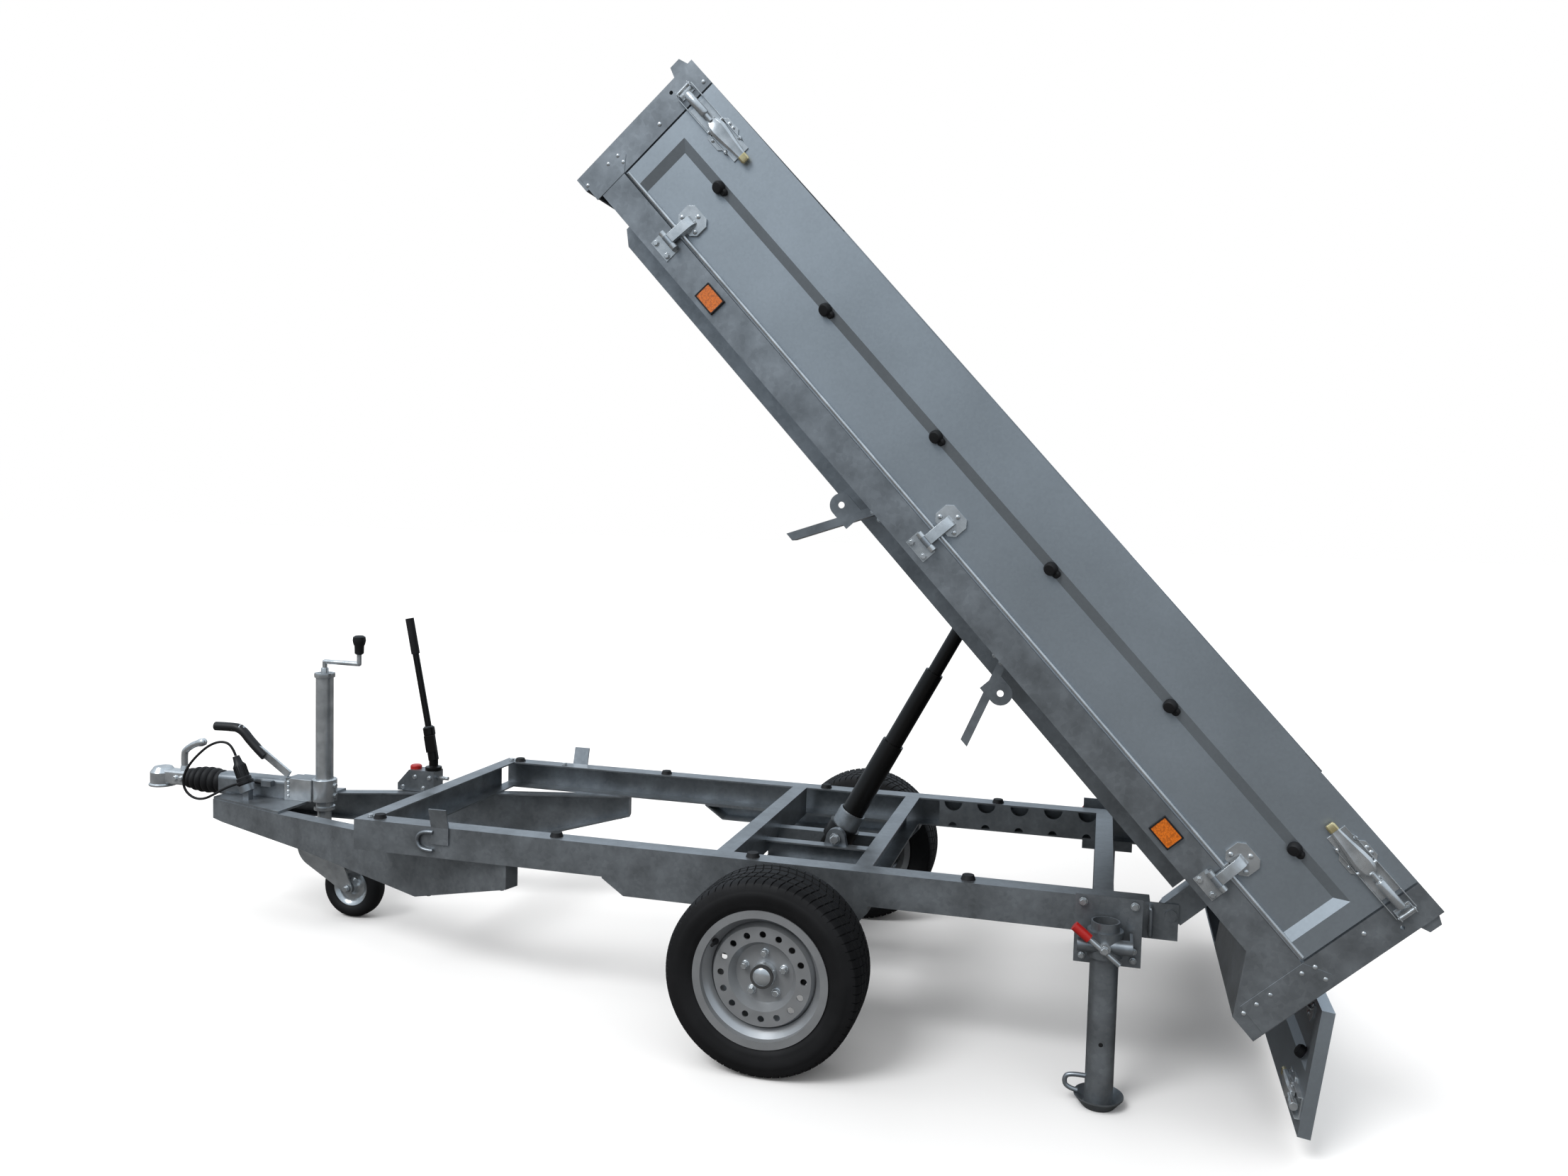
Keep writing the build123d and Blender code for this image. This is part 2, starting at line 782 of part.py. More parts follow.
with BuildPart() as jockey_crank:
    with BuildSketch(level_plane(jockey_high - jockey_tube_radius)):
        with Locations((jockey_back, 0)):
            Circle(crank_shaft_radius)
    extrude(amount=crank_shaft_top - jockey_high + jockey_tube_radius)
    with BuildSketch(side_plane(0)):
        with BuildLine():
            Polyline(
                (jockey_back - crank_width / 2, crank_shaft_top - crank_width / 2),
                (jockey_back + crank_reach / 3, crank_shaft_top - crank_width / 2),
                (jockey_back + crank_reach, crank_shaft_top + crank_rise - crank_knob_height / 2),
            )
        trace(line_width=crank_width / 2)
    extrude(amount=crank_width / 2, both=True)
    with BuildSketch(level_plane(crank_shaft_top + crank_rise - crank_knob_height / 2)):
        with Locations((jockey_back + crank_reach, 0)):
            Circle(crank_knob_radius)
    extrude(amount=crank_knob_height)
jockey_crank.part.label = "jockey_crank"
export_step(jockey_crank.part, "parts/jockey_crank.step")

with BuildPart() as jockey_fork:
    with BuildSketch(level_plane(jockey_fork_top)):
        with Locations((jockey_back, 0)):
            Circle(jockey_inner_radius)
    extrude(amount=(jockey_low + jockey_high) / 2 - jockey_fork_top)
    for y in (-fork_gap / 2, fork_gap / 2 + fork_wall):
        with BuildSketch(side_plane(y)):
            with Locations((jockey_back, jockey_fork_top)):
                Circle(fork_crown_radius)
            with Locations((jockey_back + jockey_trail, jockey_wheel_radius)):
                Circle(fork_width / 3)
            make_hull()
            with Locations((jockey_back, jockey_fork_top + fork_crown_radius)):
                Rectangle(3 * fork_crown_radius, 2 * fork_crown_radius, mode=Mode.SUBTRACT)
        extrude(amount=fork_wall)
    with BuildSketch(level_plane(jockey_fork_top - fork_wall)):
        with Locations((jockey_back, 0)):
            Rectangle(2 * fork_width, fork_gap + 2 * fork_wall)
    extrude(amount=fork_wall)
    with BuildSketch(side_plane(0)):
        with Locations((jockey_back + jockey_trail, jockey_wheel_radius)):
            Circle(jockey_axle_radius)
    extrude(amount=fork_gap / 2 + 2 * fork_wall, both=True)
jockey_fork.part.label = "jockey_fork"
export_step(jockey_fork.part, "parts/jockey_fork.step")

with BuildPart() as jockey_wheel:
    wheel_centre = (axle_x + jockey_back + jockey_trail, 0, jockey_wheel_radius)
    with BuildSketch(Plane(origin=wheel_centre, x_dir=(0, 1, 0), z_dir=(1, 0, 0))):
        with BuildLine():
            Polyline(
                (-jockey_wheel_width / 2, jockey_axle_radius + run_gap),
                (jockey_wheel_width / 2, jockey_axle_radius + run_gap),
                (jockey_wheel_width / 2, 2 * jockey_axle_radius),
                (jockey_wheel_width / 5, 3 * jockey_axle_radius),
                (jockey_wheel_width / 5, jockey_wheel_radius - 2 * jockey_tread_wall),
                (jockey_wheel_width / 2, jockey_wheel_radius - jockey_tread_wall),
                (jockey_wheel_width / 3, jockey_wheel_radius),
                (-jockey_wheel_width / 3, jockey_wheel_radius),
                (-jockey_wheel_width / 2, jockey_wheel_radius - jockey_tread_wall),
                (-jockey_wheel_width / 5, jockey_wheel_radius - 2 * jockey_tread_wall),
                (-jockey_wheel_width / 5, 3 * jockey_axle_radius),
                (-jockey_wheel_width / 2, 2 * jockey_axle_radius),
                close=True,
            )
        make_face()
    revolve(axis=Axis(origin=wheel_centre, direction=(0, 1, 0)))
jockey_wheel.part.label = "jockey_wheel"
export_step(jockey_wheel.part, "parts/jockey_wheel.step")

# Hand pump on the right-hand arm, with its lever standing in the socket
pump_y = 272
pump_front = -1698
pump_rear = -1547
pump_half = 32
pump_top = 480
pump_step = 52
pump_seat = rail_bottom - arm_nose_drop * (frame_front - pump_rear) / (frame_front - base_plate_rear)
socket_foot = (-1567, 520)
socket_end = (-1590, 643)
socket_radius = 17
ram_radius = 14
lever_radius = 11
lever_end = (-1672, 1039)

with BuildPart() as hand_pump:
    with BuildSketch(side_plane(pump_y)):
        with BuildLine():
            Polyline(
                (pump_front, pump_seat),
                (pump_rear, pump_seat),
                (pump_rear, pump_top),
                (pump_rear - 2 * pump_step, pump_top),
                (pump_front, pump_top - pump_step),
                close=True,
            )
        make_face()
    extrude(amount=pump_half, both=True)
    with BuildSketch(level_plane(pump_top)):
        with Locations((socket_foot[0], pump_y)):
            Circle(ram_radius)
    extrude(amount=socket_foot[1] - pump_top)
    socket_lean = (socket_end[0] - socket_foot[0], 0, socket_end[1] - socket_foot[1])
    with BuildSketch(Plane(origin=(axle_x + socket_foot[0], pump_y, socket_foot[1]), z_dir=socket_lean)):
        Circle(socket_radius)
    extrude(amount=hypot(socket_lean[0], socket_lean[2]))
    lever_run = (lever_end[0] - socket_end[0], 0, lever_end[1] - socket_end[1])
    with BuildSketch(Plane(origin=(axle_x + socket_end[0], pump_y, socket_end[1]), z_dir=lever_run)):
        Circle(lever_radius)
    extrude(amount=hypot(lever_run[0], lever_run[2]))
hand_pump.part.label = "hand_pump"
export_step(hand_pump.part, "parts/hand_pump.step")

# Lamp plug
with BuildPart() as lamp_plug:
    with BuildSketch(plug_plane):
        Circle(plug_radius)
    extrude(amount=plug_mouth_length)
    with BuildSketch(plug_plane.offset(plug_mouth_length)):
        Circle(plug_body_radius)
    extrude(amount=plug_length - plug_mouth_length - plug_neck_length)
    with BuildSketch(plug_plane.offset(plug_length - plug_neck_length)):
        Circle(plug_neck_radius)
    extrude(amount=plug_neck_length)
lamp_plug.part.label = "lamp_plug"
export_step(lamp_plug.part, "parts/lamp_plug.step")

# Lamp cable, from the plug's tail in a loop to its gland on the housing, points from the axle
cable_radius = 4.5
cable_start = (axle_x + plug_tail[0], plug_y, plug_tail[1])
cable_end = (axle_x + gland_front, -housing_half - gland_size / 2, shaft_height + gland_size)
cable_points = (
    (-2206, -81, 604),
    (-2257, -83, 585),
    (-2306, -84, 545),
    (-2346, -83, 503),
    (-2371, -81, 457),
    (-2368, -78, 413),
    (-2334, -75, 385),
    (-2290, -72, 383),
    (-2247, -66, 405),
    (-2200, -57, 433),
    (-2151, -46, 450),
    (-2105, -45, 457),
)
cable_exit = 42
cable_first = Vector(cable_start) + Vector(plug_run).normalized() * cable_exit
cable_middle = [Vector(axle_x + x, y, z) for x, y, z in cable_points]
cable_route = [Vector(cable_start), cable_first, *cable_middle, Vector(cable_end)]
cable_radii = []
for before, corner, after in zip(cable_route, cable_route[1:], cable_route[2:]):
    turn = (corner - before).get_angle(after - corner)
    run = min((corner - before).length, (after - corner).length)
    cable_radii.append(0.45 * run / tan(radians(turn) / 2))
print("cable radii", [round(r, 1) for r in cable_radii])

with BuildPart() as lamp_cable:
    with BuildLine() as cable_line:
        FilletPolyline(cable_route, radius=cable_radii)
    with BuildSketch(Plane(origin=cable_start, z_dir=cable_route[1] - cable_route[0])):
        Circle(cable_radius)
    sweep(path=cable_line.wires()[0])
cable_length = cable_line.wires()[0].length
cable_ratio = lamp_cable.part.volume / (pi * cable_radius**2 * cable_length)
print("cable length", round(cable_length, 1), "volume ratio", round(cable_ratio, 4))
lamp_cable.part.label = "lamp_cable"
export_step(lamp_cable.part, "parts/lamp_cable.step")

# Axle: torsion tube under the axle rails, a swing arm and stub axle at each end
axle_back = -185
axle_height = 295
axle_size = 80
axle_round = 14
axle_inset = 148
axle_half = wheel_y - axle_inset
arm_thickness = 40
arm_root_radius = 48
arm_tip_radius = 38
stub_radius = 20
backplate_radius = 105
backplate_thickness = 6
backplate_inset = 86
backplate_y = wheel_y - backplate_inset
stub_inset = 8
stub_end_y = wheel_y - stub_inset
saddle_half = 75
saddle_foot = 48

with BuildPart() as axle_beam:
    with BuildSketch(side_plane(0)):
        with Locations((axle_back, axle_height)):
            RectangleRounded(axle_size, axle_size, axle_round)
    extrude(amount=axle_half, both=True)
axle_beam.part.label = "axle_beam"
export_step(axle_beam.part, "parts/axle_beam.step")

with BuildPart() as axle_brackets:
    with BuildSketch(side_plane(-flange_tip)):
        with BuildLine():
            Polyline(
                (axle_back - saddle_half, axle_rail_bottom),
                (axle_back - saddle_foot, axle_height),
                (axle_back + saddle_foot, axle_height),
                (axle_back + saddle_half, axle_rail_bottom),
                close=True,
            )
        make_face()
        with Locations((axle_back, axle_height)):
            RectangleRounded(axle_size, axle_size, axle_round, mode=Mode.SUBTRACT)
    extrude(amount=rail_flange)
    mirror(about=Plane.XZ)
axle_brackets.part.label = "axle_brackets"
export_step(axle_brackets.part, "parts/axle_brackets.step")

with BuildPart() as swing_arms:
    with BuildSketch(side_plane(-axle_half)):
        with Locations((axle_back, axle_height)):
            Circle(arm_root_radius)
        with Locations((0, tyre_radius)):
            Circle(arm_tip_radius)
        make_hull()
    extrude(amount=arm_thickness)
    with BuildSketch(side_plane(-axle_half - arm_thickness)):
        with Locations((0, tyre_radius)):
            Circle(stub_radius)
    extrude(amount=stub_end_y - axle_half - arm_thickness)
    with BuildSketch(side_plane(-backplate_y)):
        with Locations((0, tyre_radius)):
            Circle(backplate_radius)
    extrude(amount=backplate_thickness)
    mirror(about=Plane.XZ)
swing_arms.part.label = "swing_arms"
export_step(swing_arms.part, "parts/swing_arms.step")

# Wheels: sections are in places across the tyre, outwards, and radii
tyre_wall = 9
tread_half = 78
tread_crown = 3
shoulder_radius = 246
bulge_radius = 222
bead_half = 83
bead_radius = 169
rim_wall = 4
rim_seat_radius = 166
rim_well_radius = 146
rim_slope = 22
rim_well_out = 46
rim_well_in = 40
disc_face = 34
disc_crown = 62
disc_thickness = 5
disc_bolt_radius = 78
disc_vent_radius = 112
disc_knee = 20
vent_count = 16
vent_radius = 9
bolt_count = 5
bolt_circle_radius = 56
bolt_hole_radius = 7
centre_bore_radius = 33
drum_radius = 100
drum_half = 52
hub_cap_radius = 31
hub_cap_length = 30
hub_reach = 18

for side, name in ((-1, "left"), (1, "right")):
    middle = (axle_x, side * wheel_y, tyre_radius)
    wheel_plane = Plane(origin=middle, x_dir=(0, side, 0), z_dir=(side, 0, 0))
    wheel_axis = Axis(origin=middle, direction=(0, 1, 0))
    with BuildPart() as tyre:
        with BuildSketch(wheel_plane):
            with BuildLine():
                Polyline(
                    (bead_half, bead_radius),
                    (bead_half, rim_flange_radius),
                    (tyre_width / 2, bulge_radius),
                    (bead_half + tyre_wall, shoulder_radius),
                    (tread_half, tyre_radius - tread_crown),
                    (tread_half / 2, tyre_radius),
                    (-tread_half / 2, tyre_radius),
                    (-tread_half, tyre_radius - tread_crown),
                    (-bead_half - tyre_wall, shoulder_radius),
                    (-tyre_width / 2, bulge_radius),
                    (-bead_half, rim_flange_radius),
                    (-bead_half, bead_radius),
                    (-bead_half + tyre_wall, bead_radius),
                    (-tyre_width / 2 + tyre_wall, bulge_radius),
                    (-tread_half, shoulder_radius),
                    (tread_half, shoulder_radius),
                    (tyre_width / 2 - tyre_wall, bulge_radius),
                    (bead_half - tyre_wall, bead_radius),
                    close=True,
                )
            make_face()
        revolve(axis=wheel_axis)
    tyre.part.label = f"tyre_{name}"
    export_step(tyre.part, f"parts/tyre_{name}.step")

    with BuildPart() as rim:
        with BuildSketch(wheel_plane):
            with BuildLine():
                Polyline(
                    (rim_width / 2, rim_flange_radius),
                    (rim_width / 2 - rim_wall, rim_flange_radius),
                    (rim_width / 2 - rim_wall, bead_radius - run_gap),
                    (rim_well_out + rim_slope, rim_seat_radius),
                    (rim_well_out, rim_well_radius),
                    (-rim_well_in, rim_well_radius),
                    (-rim_well_in - rim_slope, rim_seat_radius),
                    (-rim_width / 2 + rim_wall, bead_radius - run_gap),
                    (-rim_width / 2 + rim_wall, rim_flange_radius),
                    (-rim_width / 2, rim_flange_radius),
                    (-rim_width / 2, rim_seat_radius - rim_wall),
                    (-rim_well_in - rim_slope, rim_seat_radius - rim_wall),
                    (-rim_well_in, rim_well_radius - rim_wall),
                    (rim_well_out, rim_well_radius - rim_wall),
                    (rim_well_out + rim_slope, rim_seat_radius - rim_wall),
                    (rim_width / 2, rim_seat_radius - rim_wall),
                    close=True,
                )
            make_face()
        revolve(axis=wheel_axis)
        with BuildSketch(wheel_plane):
            with BuildLine():
                Polyline(
                    (disc_face, rim_well_radius - rim_wall / 2),
                    (disc_crown, disc_vent_radius + disc_knee),
                    (disc_crown, disc_vent_radius - disc_knee),
                    (disc_face, disc_bolt_radius),
                    (disc_face, centre_bore_radius),
                    (disc_face - disc_thickness, centre_bore_radius),
                    (disc_face - disc_thickness, disc_bolt_radius),
                    (disc_crown - disc_thickness, disc_vent_radius - disc_knee),
                    (disc_crown - disc_thickness, disc_vent_radius + disc_knee),
                    (disc_face - disc_thickness, rim_well_radius - rim_wall / 2),
                    close=True,
                )
            make_face()
        revolve(axis=wheel_axis)
        with BuildSketch(Plane(origin=middle, x_dir=(1, 0, 0), z_dir=(0, side, 0))):
            with PolarLocations(disc_vent_radius, vent_count):
                Circle(vent_radius)
            with PolarLocations(bolt_circle_radius, bolt_count, start_angle=90):
                Circle(bolt_hole_radius)
        extrude(amount=rim_width, mode=Mode.SUBTRACT)
    rim.part.label = f"rim_{name}"
    export_step(rim.part, f"parts/rim_{name}.step")

    hub_face = disc_face - disc_thickness
    with BuildPart() as hub:
        with BuildSketch(wheel_plane):
            with BuildLine():
                Polyline(
                    (backplate_y + backplate_thickness + swing_gap - wheel_y, stub_radius + run_gap),
                    (backplate_y + backplate_thickness + swing_gap - wheel_y, drum_radius),
                    (hub_face - hub_reach, drum_radius),
                    (hub_face, disc_bolt_radius),
                    (hub_face, hub_cap_radius),
                    (disc_face + hub_cap_length, hub_cap_radius),
                    (disc_face + hub_cap_length, 0),
                    (stub_end_y - wheel_y + swing_gap, 0),
                    (stub_end_y - wheel_y + swing_gap, stub_radius + run_gap),
                    close=True,
                )
            make_face()
        revolve(axis=wheel_axis)
    hub.part.label = f"hub_{name}"
    export_step(hub.part, f"parts/hub_{name}.step")

# Prop legs in their clamps at the rear of the rails
leg_back = 854
leg_offset = 103
leg_y = half_frame + leg_offset
leg_radius = 35
leg_wall = 4
leg_top = 472
leg_foot_radius = 61
leg_foot_height = 29
leg_foot_flat = 40
leg_foot_wall = 4
leg_plate_front = 778
leg_plate_rear = 943
leg_plate_low = 345
leg_plate_high = 520
leg_plate_wall = 6
leg_ring_wall = 9
leg_ring_low = 385
leg_ring_high = 450
outrigger_size = 60
outrigger_wall = 5
clamp_grip = (785, 465)
clamp_rod_end = (890, 383)
clamp_rod_radius = 7
clamp_rod_offset = 49
clamp_rod_y = leg_y + clamp_rod_offset
clamp_boss_radius = 14
leg_plate_y = leg_y - leg_radius - leg_ring_wall

with BuildPart() as prop_legs:
    leg_middle = (axle_x + leg_back, -leg_y, 0)
    with BuildSketch(Plane(origin=leg_middle, x_dir=(1, 0, 0), z_dir=(0, -1, 0))):
        with BuildLine():
            Polyline(
                (0, 0),
                (leg_foot_flat, 0),
                (leg_foot_radius, leg_foot_height - leg_foot_wall),
                (leg_foot_radius, leg_foot_height),
                (leg_foot_flat, leg_foot_wall),
                (leg_radius, leg_foot_wall),
                (leg_radius, leg_top),
                (leg_radius - leg_wall, leg_top),
                (leg_radius - leg_wall, leg_foot_wall),
                (0, leg_foot_wall),
                close=True,
            )
        make_face()
    revolve(axis=Axis(origin=leg_middle, direction=(0, 0, 1)))
    mirror(about=Plane.XZ)
prop_legs.part.label = "prop_legs"
export_step(prop_legs.part, "parts/prop_legs.step")

with BuildPart() as leg_clamps:
    with BuildSketch(level_plane(leg_ring_low)):
        with Locations((leg_back, -leg_y)):
            Circle(leg_radius + leg_ring_wall)
        with Locations((leg_back, -(leg_plate_y + leg_y) / 2)):
            Rectangle(2 * leg_radius, leg_y - leg_plate_y)
        with Locations((leg_back, -leg_y)):
            Circle(leg_radius + run_gap, mode=Mode.SUBTRACT)
    extrude(amount=leg_ring_high - leg_ring_low)
    with BuildSketch(side_plane(-leg_plate_y + leg_plate_wall)):
        with Locations(((leg_plate_front + leg_plate_rear) / 2, (leg_plate_low + leg_plate_high) / 2)):
            Rectangle(leg_plate_rear - leg_plate_front, leg_plate_high - leg_plate_low)
    extrude(amount=leg_plate_wall)
    with BuildSketch(side_plane(-half_frame)):
        with Locations((leg_back, (rail_bottom + rail_top) / 2)):
            Rectangle(outrigger_size, outrigger_size)
            Rectangle(
                outrigger_size - 2 * outrigger_wall,
                outrigger_size - 2 * outrigger_wall,
                mode=Mode.SUBTRACT,
            )
    extrude(amount=leg_plate_y - leg_plate_wall - half_frame)
    mirror(about=Plane.XZ)
leg_clamps.part.label = "leg_clamps"
export_step(leg_clamps.part, "parts/leg_clamps.step")

with BuildPart() as leg_clamp_levers:
    rod_run = (clamp_rod_end[0] - clamp_grip[0], 0, clamp_rod_end[1] - clamp_grip[1])
    rod_start = (axle_x + clamp_grip[0], -clamp_rod_y - clamp_rod_radius, clamp_grip[1])
    with BuildSketch(Plane(origin=rod_start, z_dir=rod_run)):
        Circle(clamp_rod_radius)
    extrude(amount=hypot(rod_run[0], rod_run[2]))
    with BuildSketch(side_plane(-leg_y - leg_radius - leg_ring_wall)):
        with Locations((leg_back, (leg_ring_low + leg_ring_high) / 2)):
            Circle(clamp_boss_radius)
    extrude(amount=clamp_rod_y + clamp_rod_radius - leg_y - leg_radius - leg_ring_wall)
    mirror(about=Plane.XZ)
leg_clamp_levers.part.label = "leg_clamp_levers"
export_step(leg_clamp_levers.part, "parts/leg_clamp_levers.step")

# Bed frame: side beams are channels between the front and rear beams
front_beam_rear = bed_front + front_beam_width
rear_beam_front = bed_rear - rear_beam_width

with BuildPart() as bed_side_beams:
    with BuildSketch(bed_across(front_beam_rear)):
        with BuildLine():
            Polyline(
                (half_bed, beam_bottom),
                (half_bed - side_beam_flange, beam_bottom),
                (half_bed - side_beam_flange, beam_bottom + bed_wall),
                (half_bed - bed_wall, beam_bottom + bed_wall),
                (half_bed - bed_wall, floor_top - bed_wall),
                (half_bed - side_beam_flange, floor_top - bed_wall),
                (half_bed - side_beam_flange, floor_top),
                (half_bed, floor_top),
                close=True,
            )
        make_face()
    extrude(amount=rear_beam_front - front_beam_rear)
    mirror(about=Plane.XZ)
bed_side_beams.part.label = "bed_side_beams"
export_step(bed_side_beams.part, "parts/bed_side_beams.step")

with BuildPart() as bed_front_beam:
    with BuildSketch(bed_side(0)):
        with BuildLine():
            Polyline(
                (bed_front, front_beam_bottom),
                (front_beam_rear, front_beam_bottom),
                (front_beam_rear, floor_top),
                (bed_front, floor_top),
                close=True,
            )
        make_face()
    extrude(amount=half_bed, both=True)
    with BuildSketch(bed_side(0)):
        with BuildLine():
            Polyline(
                (bed_front + bed_wall, front_beam_bottom + bed_wall),
                (front_beam_rear + cut_over, front_beam_bottom + bed_wall),
                (front_beam_rear + cut_over, floor_top - bed_wall),
                (bed_front + bed_wall, floor_top - bed_wall),
                close=True,
            )
        make_face()
    extrude(amount=half_bed - bed_wall, both=True, mode=Mode.SUBTRACT)
bed_front_beam.part.label = "bed_front_beam"
export_step(bed_front_beam.part, "parts/bed_front_beam.step")

# Rear beam with a lamp cut-out and a sloped light board at each side
light_board_length = 100
light_board_inner = 300
light_board_wall = 3
lamp_inner = 420
lamp_outer = 660
lamp_low = 20
lamp_high = 130
lamp_proud = 10
lamp_body = 40

with BuildPart() as bed_rear_beam:
    with BuildSketch(bed_side(0)):
        with BuildLine():
            Polyline(
                (rear_beam_front, rear_beam_bottom),
                (bed_rear, rear_beam_bottom),
                (bed_rear, floor_top),
                (rear_beam_front, floor_top),
                close=True,
            )
        make_face()
    extrude(amount=half_bed, both=True)
    with BuildSketch(bed_side(0)):
        with BuildLine():
            Polyline(
                (rear_beam_front - cut_over, rear_beam_bottom + bed_wall),
                (bed_rear - bed_wall, rear_beam_bottom + bed_wall),
                (bed_rear - bed_wall, floor_top - bed_wall),
                (rear_beam_front - cut_over, floor_top - bed_wall),
                close=True,
            )
        make_face()
    extrude(amount=half_bed - bed_wall, both=True, mode=Mode.SUBTRACT)
    for side in (-1, 1):
        with BuildSketch(bed_across(bed_rear + cut_over)):
            with Locations((side * (lamp_inner + lamp_outer) / 2, (lamp_low + lamp_high) / 2)):
                Rectangle(lamp_outer - lamp_inner, lamp_high - lamp_low)
        extrude(amount=-bed_wall - 2 * cut_over, mode=Mode.SUBTRACT)
        with BuildSketch(bed_side(side * (half_bed - (half_bed - light_board_inner) / 2))):
            with BuildLine():
                Polyline(
                    (rear_beam_front - light_board_length, bearer_bottom),
                    (rear_beam_front, rear_beam_bottom),
                    (rear_beam_front, rear_beam_bottom + bed_wall),
                    (rear_beam_front - light_board_length + bed_wall, bearer_bottom),
                    close=True,
                )
            make_face()
        extrude(amount=(half_bed - light_board_inner) / 2, both=True)
        with BuildSketch(bed_side(side * (half_bed - light_board_wall / 2))):
            with BuildLine():
                Polyline(
                    (rear_beam_front - light_board_length, bearer_bottom),
                    (rear_beam_front, rear_beam_bottom),
                    (rear_beam_front, bearer_bottom),
                    close=True,
                )
            make_face()
        extrude(amount=light_board_wall / 2, both=True)
bed_rear_beam.part.label = "bed_rear_beam"
export_step(bed_rear_beam.part, "parts/bed_rear_beam.step")

with BuildPart() as rear_lamps:
    with BuildSketch(bed_across(bed_rear + lamp_proud)):
        for side in (-1, 1):
            with Locations((side * (lamp_inner + lamp_outer) / 2, (lamp_low + lamp_high) / 2)):
                Rectangle(lamp_outer - lamp_inner - 2 * run_gap, lamp_high - lamp_low - 2 * run_gap)
    extrude(amount=-lamp_body)
rear_lamps.part.label = "rear_lamps"
export_step(rear_lamps.part, "parts/rear_lamps.step")

# Runners: channels under the bearers that come down over the rails
runner_front = -2341
runner_rear = -49
runner_wall = 5
runner_nose_depth = 28
runner_nose_length = 40
runner_outline = [
    (runner_front, bearer_bottom),
    (runner_front, runner_bottom + runner_nose_depth),
    (runner_front + runner_nose_length, runner_bottom),
    (runner_rear, runner_bottom),
    (runner_rear, bearer_bottom),
]

with BuildPart() as bed_runners:
    with BuildSketch(bed_side(-runner_outer + runner_width)):
        with BuildLine():
            Polyline(runner_outline, close=True)
        make_face()
    extrude(amount=runner_width)
    with BuildSketch(bed_side(-runner_outer + runner_width + cut_over)):
        with BuildLine():
            Polyline(runner_outline, close=True)
        make_face()
        offset(amount=-runner_wall, kind=Kind.INTERSECTION, mode=Mode.REPLACE)
    extrude(amount=runner_width - runner_wall + cut_over, mode=Mode.SUBTRACT)
    mirror(about=Plane.XZ)
bed_runners.part.label = "bed_runners"
export_step(bed_runners.part, "parts/bed_runners.step")

# Bearers across the runners, by the places of their front edges
bearer_width = 40
bearer_places = (-2130, -1830, -1530, -1263, -1044, -884, -802, -480, -180)
bearer_half = half_bed - side_beam_flange

with BuildPart() as bed_bearers:
    for place in bearer_places:
        with BuildSketch(bed_side(0)):
            with BuildLine():
                Polyline(
                    (place, bearer_bottom),
                    (place + bearer_width, bearer_bottom),
                    (place + bearer_width, bearer_bottom + bed_wall),
                    (place + bed_wall, bearer_bottom + bed_wall),
                    (place + bed_wall, floor_bottom - bed_wall),
                    (place + bearer_width, floor_bottom - bed_wall),
                    (place + bearer_width, floor_bottom),
                    (place, floor_bottom),
                    close=True,
                )
            make_face()
        extrude(amount=bearer_half, both=True)
bed_bearers.part.label = "bed_bearers"
export_step(bed_bearers.part, "parts/bed_bearers.step")

with BuildPart() as bed_floor:
    with BuildSketch(bed_level(floor_bottom)):
        with Locations(((front_beam_rear + rear_beam_front) / 2, 0)):
            Rectangle(rear_beam_front - front_beam_rear, 2 * bearer_half)
    extrude(amount=floor_thickness)
bed_floor.part.label = "bed_floor"
export_step(bed_floor.part, "parts/bed_floor.step")

# Corner posts, with the hole for a locking pin, and the fixed front board between the front ones
post_hole_radius = 5
post_hole_along = 21.6
post_hole_high = 424
catch_low = 452
catch_high = 502
catch_bevel = 10
catch_front_reach = 30

with BuildPart() as corner_posts:
    for front, hole in ((bed_front, post_hole_along), (bed_rear - post_width, post_width - post_hole_along)):
        with BuildSketch(bed_side(-post_inner)):
            with Locations((front + post_width / 2, (floor_top + panel_top) / 2)):
                Rectangle(post_width, panel_top - floor_top)
            with Locations((front + hole, post_hole_high)):
                Circle(post_hole_radius, mode=Mode.SUBTRACT)
        extrude(amount=panel_thickness)
    for start, reach in ((bed_front, -catch_front_reach), (bed_rear, catch_reach)):
        with BuildSketch(bed_side(-half_bed + panel_thickness / 2)):
            with BuildLine():
                Polyline(
                    (start, catch_low),
                    (start + reach, catch_low + catch_bevel),
                    (start + reach, catch_high - catch_bevel),
                    (start, catch_high),
                    close=True,
                )
            make_face()
        extrude(amount=bed_wall)
    mirror(about=Plane.XZ)
corner_posts.part.label = "corner_posts"
export_step(corner_posts.part, "parts/corner_posts.step")

# Pressed panels: a full-thickness border round a recessed field with bevelled edges
field_depth = 12
field_bevel = 24
field_border = 45
field_foot = 14
field_head = 138

with BuildPart() as front_board:
    with BuildSketch(bed_across(bed_front)):
        with Locations((0, (floor_top + panel_top) / 2)):
            Rectangle(2 * post_inner, panel_top - floor_top)
    extrude(amount=panel_thickness)
    field_low = floor_top + field_foot
    field_high = panel_top - field_head
    with BuildSketch(bed_across(bed_front)):
        with Locations((0, (field_low + field_high) / 2)):
            Rectangle(2 * (post_inner - field_border), field_high - field_low)
    with BuildSketch(bed_across(bed_front + field_depth)):
        with Locations((0, (field_low + field_high - field_bevel) / 2)):
            Rectangle(2 * (post_inner - field_border - field_bevel), field_high - field_bevel - field_low)
    loft(mode=Mode.SUBTRACT)
front_board.part.label = "front_board"
export_step(front_board.part, "parts/front_board.step")

# Pivot brackets: channels from the floor down into the rails, on the hinge pins
bracket_gap = 3
bracket_outer = web_inner - bracket_gap
bracket_front = -32
bracket_rear = 35
bracket_boss = 30
bracket_wall = 5
pivot_head_radius = 15
pivot_head_thickness = 4

